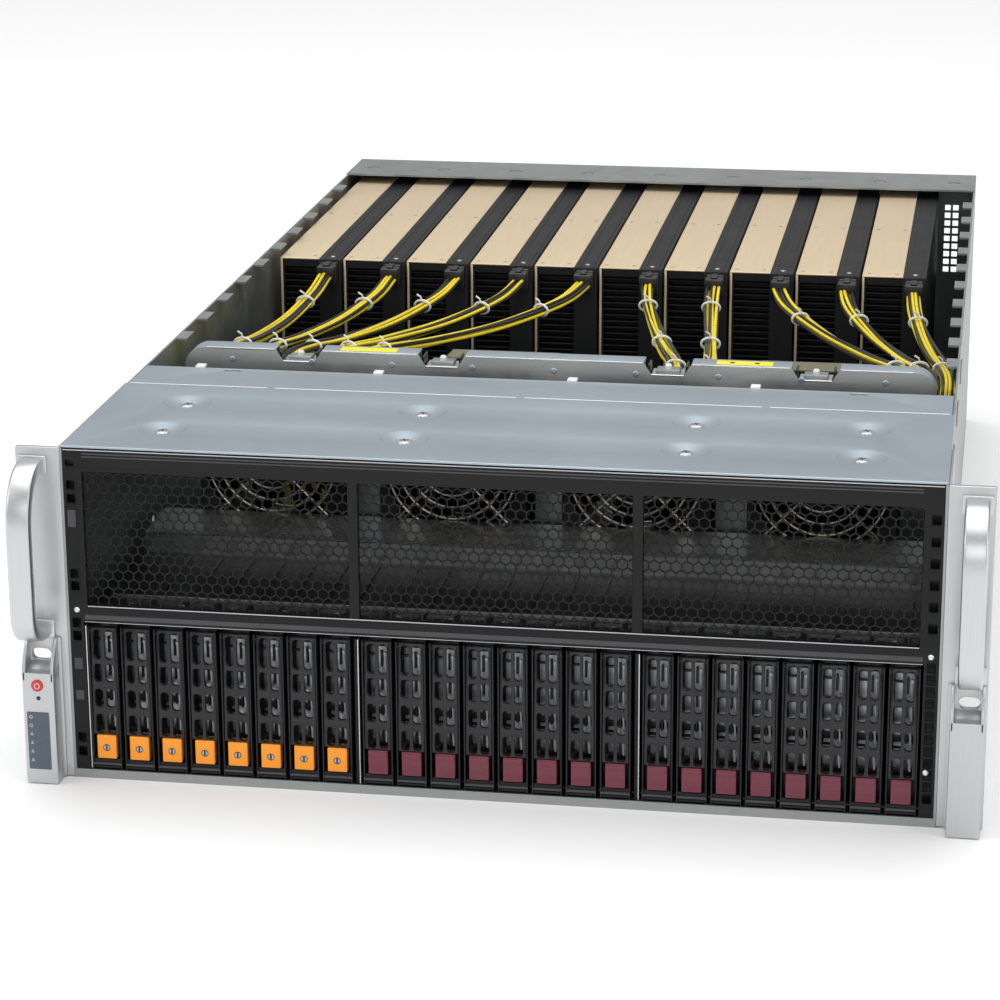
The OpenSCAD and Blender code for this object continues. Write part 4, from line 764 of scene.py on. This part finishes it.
def earMesh():      # the right-hand ear; the left one is its mirror image
    e = ear
    bm = bmesh.new()
    outline = rectangle(e["in"], e["low"], e["out"], e["high"], 0.8, 3)
    stamp(bm, cutSheet([outline, rackSlot], e["thick"], 0.5, 3), (0, front + e["thick"] / 2, 0), upright)
    pad = rectangle(e["in"] + 3.6, e["low"], e["out"] - 0.6, e["padTop"], 0.6, 2)
    stamp(bm, cutSheet([pad, rackSlot], e["pad"], 0.4, 2), (0, front - e["pad"] / 2 + 0.05, 0), upright)
    block(bm, (e["in"], depth(0.5), e["low"]), (e["in"] + 1.5, depth(62), e["high"]), 0.4, steps=2)
    middle, wide = (e["blockIn"] + e["blockOut"]) / 2, e["blockOut"] - e["blockIn"]
    side = [(-1.2, e["low"]), (-e["reach"], e["low"]), (-e["reach"], e["blockHigh"]), (-9.6, 60.5), (-7.4, 61.2),
        (-6.8, 62.0), (-4.4, 62.5), (-3.8, 63.1), (-1.2, 63.3)]
    stamp(bm, cutSheet([[(front + y, z) for y, z in side]], wide, 0.7, 3), (middle, 0, 0), sideways)
    cheek = [(-1.2, 56.0), (-e["reach"], 56.0), (-e["reach"], 60.0), (-11.2, 63.5), (-9.4, 67.4), (-6.8, 71.4),
        (-3.8, 75.0), (-2.4, 76.0), (-1.2, 76.0)]
    for x in (e["blockIn"] + e["cheek"] / 2, e["blockOut"] - e["cheek"] / 2):
        stamp(bm, cutSheet([[(front + y, z) for y, z in cheek]], e["cheek"], 0.45, 3), (x, 0, 0), sideways)
    return bm


bm = earMesh()
for d in (18, 48):
    lathe(bm, [(0, 0.6), (2.2, 0.5), (3.2, 0.1), (3.2, -0.3), (0, -0.3)], (ear["in"] + 1.5, depth(d), 120), "X", 24, 1)
finishPiece("earRight", bm, "chassis", ["satin", "bright"], ["right_ear"], 40)

bm = earMesh()
bmesh.ops.scale(bm, vec=(-1, 1, 1), verts=bm.verts)
bmesh.ops.reverse_faces(bm, faces=bm.faces)
faceD = depth(-ear["reach"])
stamp(bm, cutSheet([rectangle(-238.3, 8.2, -226.7, 39.2, 0.5, 3)], 0.5, 0.12, 2), (0, faceD - 0.02, 0), upright, 1)
lathe(bm, [(0, 0.08), (1.15, 0.08), (1.15, -0.4), (0, -0.4)], (-231.8, faceD, 46.7), "-Y", 24, 2)
for k in range(6):      # one small mark beside each indicator
    z = 36.6 - k * 4.7
    if k < 2:
        lathe(bm, [(0.62, 0.1), (0.95, 0.1), (0.95, -0.2), (0.62, -0.2), (0.62, 0.1)], (-236.2, faceD - 0.25, z), "-Y", 20, 3)
    else:
        block(bm, (-237.0, faceD - 0.33, z - 0.55), (-235.3, faceD - 0.1, z - 0.15), 0.05, 3)
        block(bm, (-236.5, faceD - 0.33, z), (-235.8, faceD - 0.1, z + 0.9), 0.05, 3)
    lathe(bm, [(0, 0.12), (0.45, 0.1), (0.6, -0.1), (0, -0.1)], (-228.9, faceD - 0.25, z), "-Y", 16, 1)
finishPiece("earLeft", bm, "chassis", ["satin", "window", "black", "ink"], ["left_ear"], 40)

bm = bmesh.new()
lathe(bm, [(0, 1.0), (0.9, 1.0), (1.0, 0.85), (1.7, 0.85), (2.5, 1.0), (3.0, 0.75), (3.2, 0.3), (3.2, -6.0), (0, -6.0)],
      (-232.15, faceD + 0.1, 53.5), "-Y", 48)
lathe(bm, [(1.05, 0.95), (1.6, 0.95), (1.6, 0.6), (1.05, 0.6), (1.05, 0.95)], (-232.15, faceD + 0.1, 53.5), "-Y", 40, 1)
finishPiece("powerCap", bm, "power_button", ["red", "ink"], ["power_button"], 40)

grip = {"low": 77.0, "high": 170.3, "reach": 30.0, "thick": 6.2, "wide": 12.0, "seat": 1.4, "bendHigh": 34.0, "bendLow": 20.0, "soft": 2 / 2.35}


def gripLine(shift):      # one side of the bar, from its upper foot to its lower one
    g = grip
    made = []
    for bend, base, way in ((g["bendHigh"] - shift * 0.7, g["high"] - shift, -1), (g["bendLow"] - shift * 0.7, g["low"] + shift, 1)):
        part = []
        for k in range(15):
            a = math.pi / 2 * k / 14
            part.append((front - g["seat"] - (g["reach"] - shift - g["seat"]) * math.sin(a) ** g["soft"],
                base + way * bend * (1 - max(0.0, math.cos(a)) ** g["soft"])))
        made += part if way < 0 else part[::-1]
    return made


bm = bmesh.new()
shape = cutSheet([gripLine(0) + gripLine(grip["thick"])[::-1]], grip["wide"], 1.5, 4)
for s in (-1, 1):
    stamp(bm, shape, (s * ear["slotX"], 0, 0), sideways)
    for z in (grip["low"] + 3.5, grip["high"] - 3.5):
        block(bm, (s * ear["slotX"] - 7.5, depth(-1.7), z - 4.6), (s * ear["slotX"] + 7.5, depth(0.1), z + 4.6), 0.5, steps=3)
finishPiece("carryHandles", bm, "chassis", ["grip"], ["handles"], 40)


print("accelerator cards")
cards = {"count": 10, "left": -211.3, "pitch": 40.64, "front": 448.8, "long": 267.0, "low": 63.1, "top": 170.5, "wide": 39.2,
    "plate": 25.0, "skin": 1.0, "lead": 32.0}
bm, plates = bmesh.new(), bmesh.new()
near, far = depth(cards["front"]), depth(cards["front"] + cards["long"])
for i in range(cards["count"]):
    x = cards["left"] + i * cards["pitch"]
    block(bm, (x + 1.0, near + 8, cards["low"]), (x + cards["wide"], far, cards["top"] - 1.1), 0.6, steps=2)
    block(bm, (x + 24.6, near, cards["low"]), (x + cards["wide"], near + 9, cards["top"] - 0.6), 0.6, steps=2)
    block(bm, (x + 1.0, near + 0.4, cards["low"]), (x + 25.0, near + 9, cards["low"] + 4), 0.4)
    block(bm, (x + 1.0, near + 0.4, cards["top"] - 6), (x + 25.0, near + 9, cards["top"] - 1.1), 0.4)
    block(bm, (x + 1.0, near + 0.4, cards["low"]), (x + 2.6, near + 9, cards["top"] - 1.1), 0.3)
    for k in range(25):
        z = cards["low"] + 6 + k * 3.9
        block(bm, (x + 2.2, near + 1.2, z), (x + 24.8, near + 8.6, z + 0.9), 0.15, 1)
    block(bm, (x + 25.3, near + 0.6, cards["top"] - 0.9), (x + cards["wide"] - 0.2, far, cards["top"] - 0.45), 0.15, 1)
    for dx in (28.2, 36.0):
        block(bm, (x + dx, near + 2, cards["top"] - 0.6), (x + dx + 0.5, far - 2, cards["top"] - 0.2), 0.1, 1)
    block(bm, (x + 27.6, near - 0.15, cards["top"] - 13), (x + 36.6, near + 0.2, cards["top"] - 10.6), 0.08, 2)
    lathe(bm, [(0, 0.3), (1.1, 0.25), (1.6, 0), (0, 0)], (x + 32.2, near + 8.5, cards["top"] - 0.45), "Z", 20, 3)
    block(bm, (x + cards["lead"] - 5.4, near - 3, 156.4), (x + cards["lead"] + 5.4, near + 0.4, 168.6), 0.5, 4)
    block(bm, (x + 4.5, near + 62, cards["low"] - 0.4), (x + 9.5, near + 148, cards["low"] + 1), 0.2, 3)
    block(bm, (x + 0.6, far + 17.6, cards["low"] - 4), (x + cards["wide"] - 0.6, far + 18.8, cards["top"] - 2), 0.3, 5)
    for z in (cards["low"] + 1, cards["top"] - 12):
        block(bm, (x + 2, far - 1, z), (x + 12, far + 18, z + 8), 0.4, 5)
    block(plates, (x, near, cards["top"] - 1.0), (x + cards["plate"], far, cards["top"]), 0.42, 0, steps=3)
    block(plates, (x, near, cards["low"]), (x + cards["skin"], far, cards["top"] - 0.4), 0.3, 0, steps=2)
    block(plates, (x + 0.2, near - 0.1, cards["low"] + 1), (x + 1.5, near + 1.4, cards["top"] - 0.8), 0.3, 0, steps=2)
    for y in (near + 7, (near + far) / 2, far - 7):
        for dx in (4.0, cards["plate"] - 4.0):
            lathe(plates, [(0, 0.16), (1.0, 0.16), (1.45, 0.05), (1.45, -0.2), (0, -0.2)], (x + dx, y, cards["top"]), "Z", 20, 1)
finishPiece("acceleratorCards", bm, "chassis", ["card", "fan", "ink", "bright", "black", "galvanised"], ["gpu_cards"])
finishPiece("cardPlates", plates, "chassis", ["plate", "bright"], ["gpu_plates"])

print("power leads")
leads = {"ends": (-196, -178, -160, -142, -124, 62, 80, 194, 203, 212), "wire": 0.98, "columns": 4, "gap": 2.05,
    "route": [(0, 445.5, 162.5), (0, 431.8, 162.5), (0.1, 405, 158), (0.38, 358, 154), (0.68, 310, 155), (0.9, 272, 159),
        (1, 246, 159), (1, 232, 146), (1, 232, 64.1)]}


def smoothPath(points, steps=6):      # a curve through the points
    points = [Vector(p) for p in points]
    ends = [points[0]] + points + [points[-1]]
    made = []
    for a, b, c, d in zip(ends, ends[1:], ends[2:], ends[3:]):
        for k in range(steps):
            t = k / steps
            made.append(0.5 * (2 * b + (c - a) * t + (2 * a - 5 * b + 4 * c - d) * t * t + (3 * b - a - 3 * c + d) * t ** 3))
    return made + [points[-1]]


def framesAlong(path):      # sideways and upward directions at each point of a path
    made = []
    for k in range(len(path)):
        run = (path[min(k + 1, len(path) - 1)] - path[max(k - 1, 0)]).normalized()
        across = run.cross(Vector((0.02, 0.17, 1))).normalized()
        made.append((across, across.cross(run)))
    return made


bm, ties = bmesh.new(), bmesh.new()
for i, end in enumerate(leads["ends"]):
    start = cards["left"] + i * cards["pitch"] + cards["lead"]
    path = smoothPath([(start + (end - start) * t, depth(d), z) for t, d, z in leads["route"]])
    turnings = framesAlong(path)
    total = len(path) - 1
    for row in range(2):
        for column in range(leads["columns"]):
            phase, sway = random.uniform(0, math.tau), random.uniform(0.5, 1.1)
            points = []
            for k, here in enumerate(path):
                loose = math.sin(math.pi * k / total) ** 0.6
                across, over = turnings[k]
                u = (column - (leads["columns"] - 1) / 2) * leads["gap"] + sway * loose * math.sin(phase + k * 0.19)
                v = (row - 0.5) * leads["gap"] + sway * 0.7 * loose * math.cos(phase * 1.7 + k * 0.23)
                points.append(here + across * u + over * v)
            tube(bm, points, leads["wire"], 8, 0 if (column + row * 2 + i) % 4 < 2 else 1)
    block(bm, (start - 5.6, depth(434), 156.6), (start + 5.6, depth(445.9), 168.4), 0.7, 1, steps=2)
    block(bm, (start - 2, depth(436), 168.2), (start + 2, depth(446), 169.6), 0.4, 1)
    block(bm, (end - 4.3, depth(226.2), 63.9), (end + 4.3, depth(237.8), 76.0), 0.6, 1, steps=2)
    for share in ((0.3, 0.62) if i < 5 or i > 6 else (0.25, 0.45, 0.7)):
        k = int(total * share)
        across, over = turnings[k]
        loop = [path[k] + across * (5.4 * math.cos(math.tau * n / 20)) + over * (3.6 * math.sin(math.tau * n / 20)) for n in range(21)]
        tube(ties, loop, 0.75, 6)
        tube(ties, [loop[5], loop[5] + over * 2.2 + across * 0.8, loop[5] + over * 3.6 + across * 3.2], 0.55, 6)
finishPiece("powerWires", bm, "chassis", ["yellow", "black"], ["power_leads"], 60)
finishPiece("wireTies", ties, "chassis", ["nylon"])


# ---------- floor, lights and camera ----------

print("stage")
stageSettings = {"floor": 9.0, "horizon": (0.93, 0.93, 0.93), "world": 0.4,
    "eye": (0.23842, -1.78773, 0.60948), "yaw": 0.1644, "pitch": 0.3037, "roll": -0.0055, "lens": 111.68}


def layFloor():
    bm = bmesh.new()
    bmesh.ops.create_grid(bm, x_segments=1, y_segments=1, size=stageSettings["floor"])
    mesh = bpy.data.meshes.new("studioFloor")
    bm.to_mesh(mesh)
    bm.free()
    floor = bpy.data.objects.new("studioFloor", mesh)
    bpy.context.scene.collection.objects.link(floor)
    paper = Finish("studioPaper", stageSettings["horizon"], 0.9)
    paper.give("Base Color", paper.blend(paper.noise(2, 2), (0.9, 0.9, 0.9), stageSettings["horizon"]))
    mesh.materials.append(paper.made)


def hangLight(name, place, aim, size, power, tint=(1, 1, 1)):
    lamp = bpy.data.lights.new(name, "AREA")
    lamp.shape, lamp.size, lamp.size_y = "RECTANGLE", size[0], size[1]
    lamp.energy, lamp.color = power, tint
    held = bpy.data.objects.new(name, lamp)
    held.location = place
    held.rotation_mode = "QUATERNION"
    held.rotation_quaternion = (Vector(aim) - Vector(place)).to_track_quat("-Z", "Y")
    bpy.context.scene.collection.objects.link(held)


layFloor()
hangLight("skyPanel", (0, 0.3, 2.6), (0, 0, 0), (3.0, 2.4), 26)
hangLight("leftPanel", (-2.2, -1.4, 1.3), (0, -0.2, 0.1), (1.6, 1.6), 16)
hangLight("rightPanel", (2.4, -1.2, 1.0), (0, -0.2, 0.1), (1.2, 1.6), 11)
hangLight("frontPanel", (0.3, -3.2, 1.2), (0, -0.3, 0.08), (2.4, 0.9), 13)

sun = bpy.data.lights.new("softSun", "SUN")
sun.energy, sun.angle = 1.5, math.radians(70)
held = bpy.data.objects.new("softSun", sun)
held.location = (0, 0, 3)
bpy.context.scene.collection.objects.link(held)

world = bpy.data.worlds.new("studioAir")
world.use_nodes = True
world.node_tree.nodes["Background"].inputs[0].default_value = (1, 1, 1, 1)
world.node_tree.nodes["Background"].inputs[1].default_value = stageSettings["world"]
bpy.context.scene.world = world
bpy.context.scene.view_settings.view_transform = "Standard"

yaw, pitch, roll = (stageSettings[k] for k in ("yaw", "pitch", "roll"))
ahead = Vector((-math.sin(yaw) * math.cos(pitch), math.cos(yaw) * math.cos(pitch), -math.sin(pitch)))
right = Vector((math.cos(yaw), math.sin(yaw), 0))
up = right.cross(ahead)
side = right * math.cos(roll) + up * math.sin(roll)
top = up * math.cos(roll) - right * math.sin(roll)
camera = bpy.data.cameras.new("photoCamera")
camera.lens, camera.sensor_width, camera.clip_start, camera.clip_end = stageSettings["lens"], 36, 0.05, 60
stand = bpy.data.objects.new("photoCamera", camera)
stand.matrix_world = Matrix((side, top, -ahead)).transposed().to_4x4()
stand.location = stageSettings["eye"]
bpy.context.scene.collection.objects.link(stand)
bpy.context.scene.camera = stand
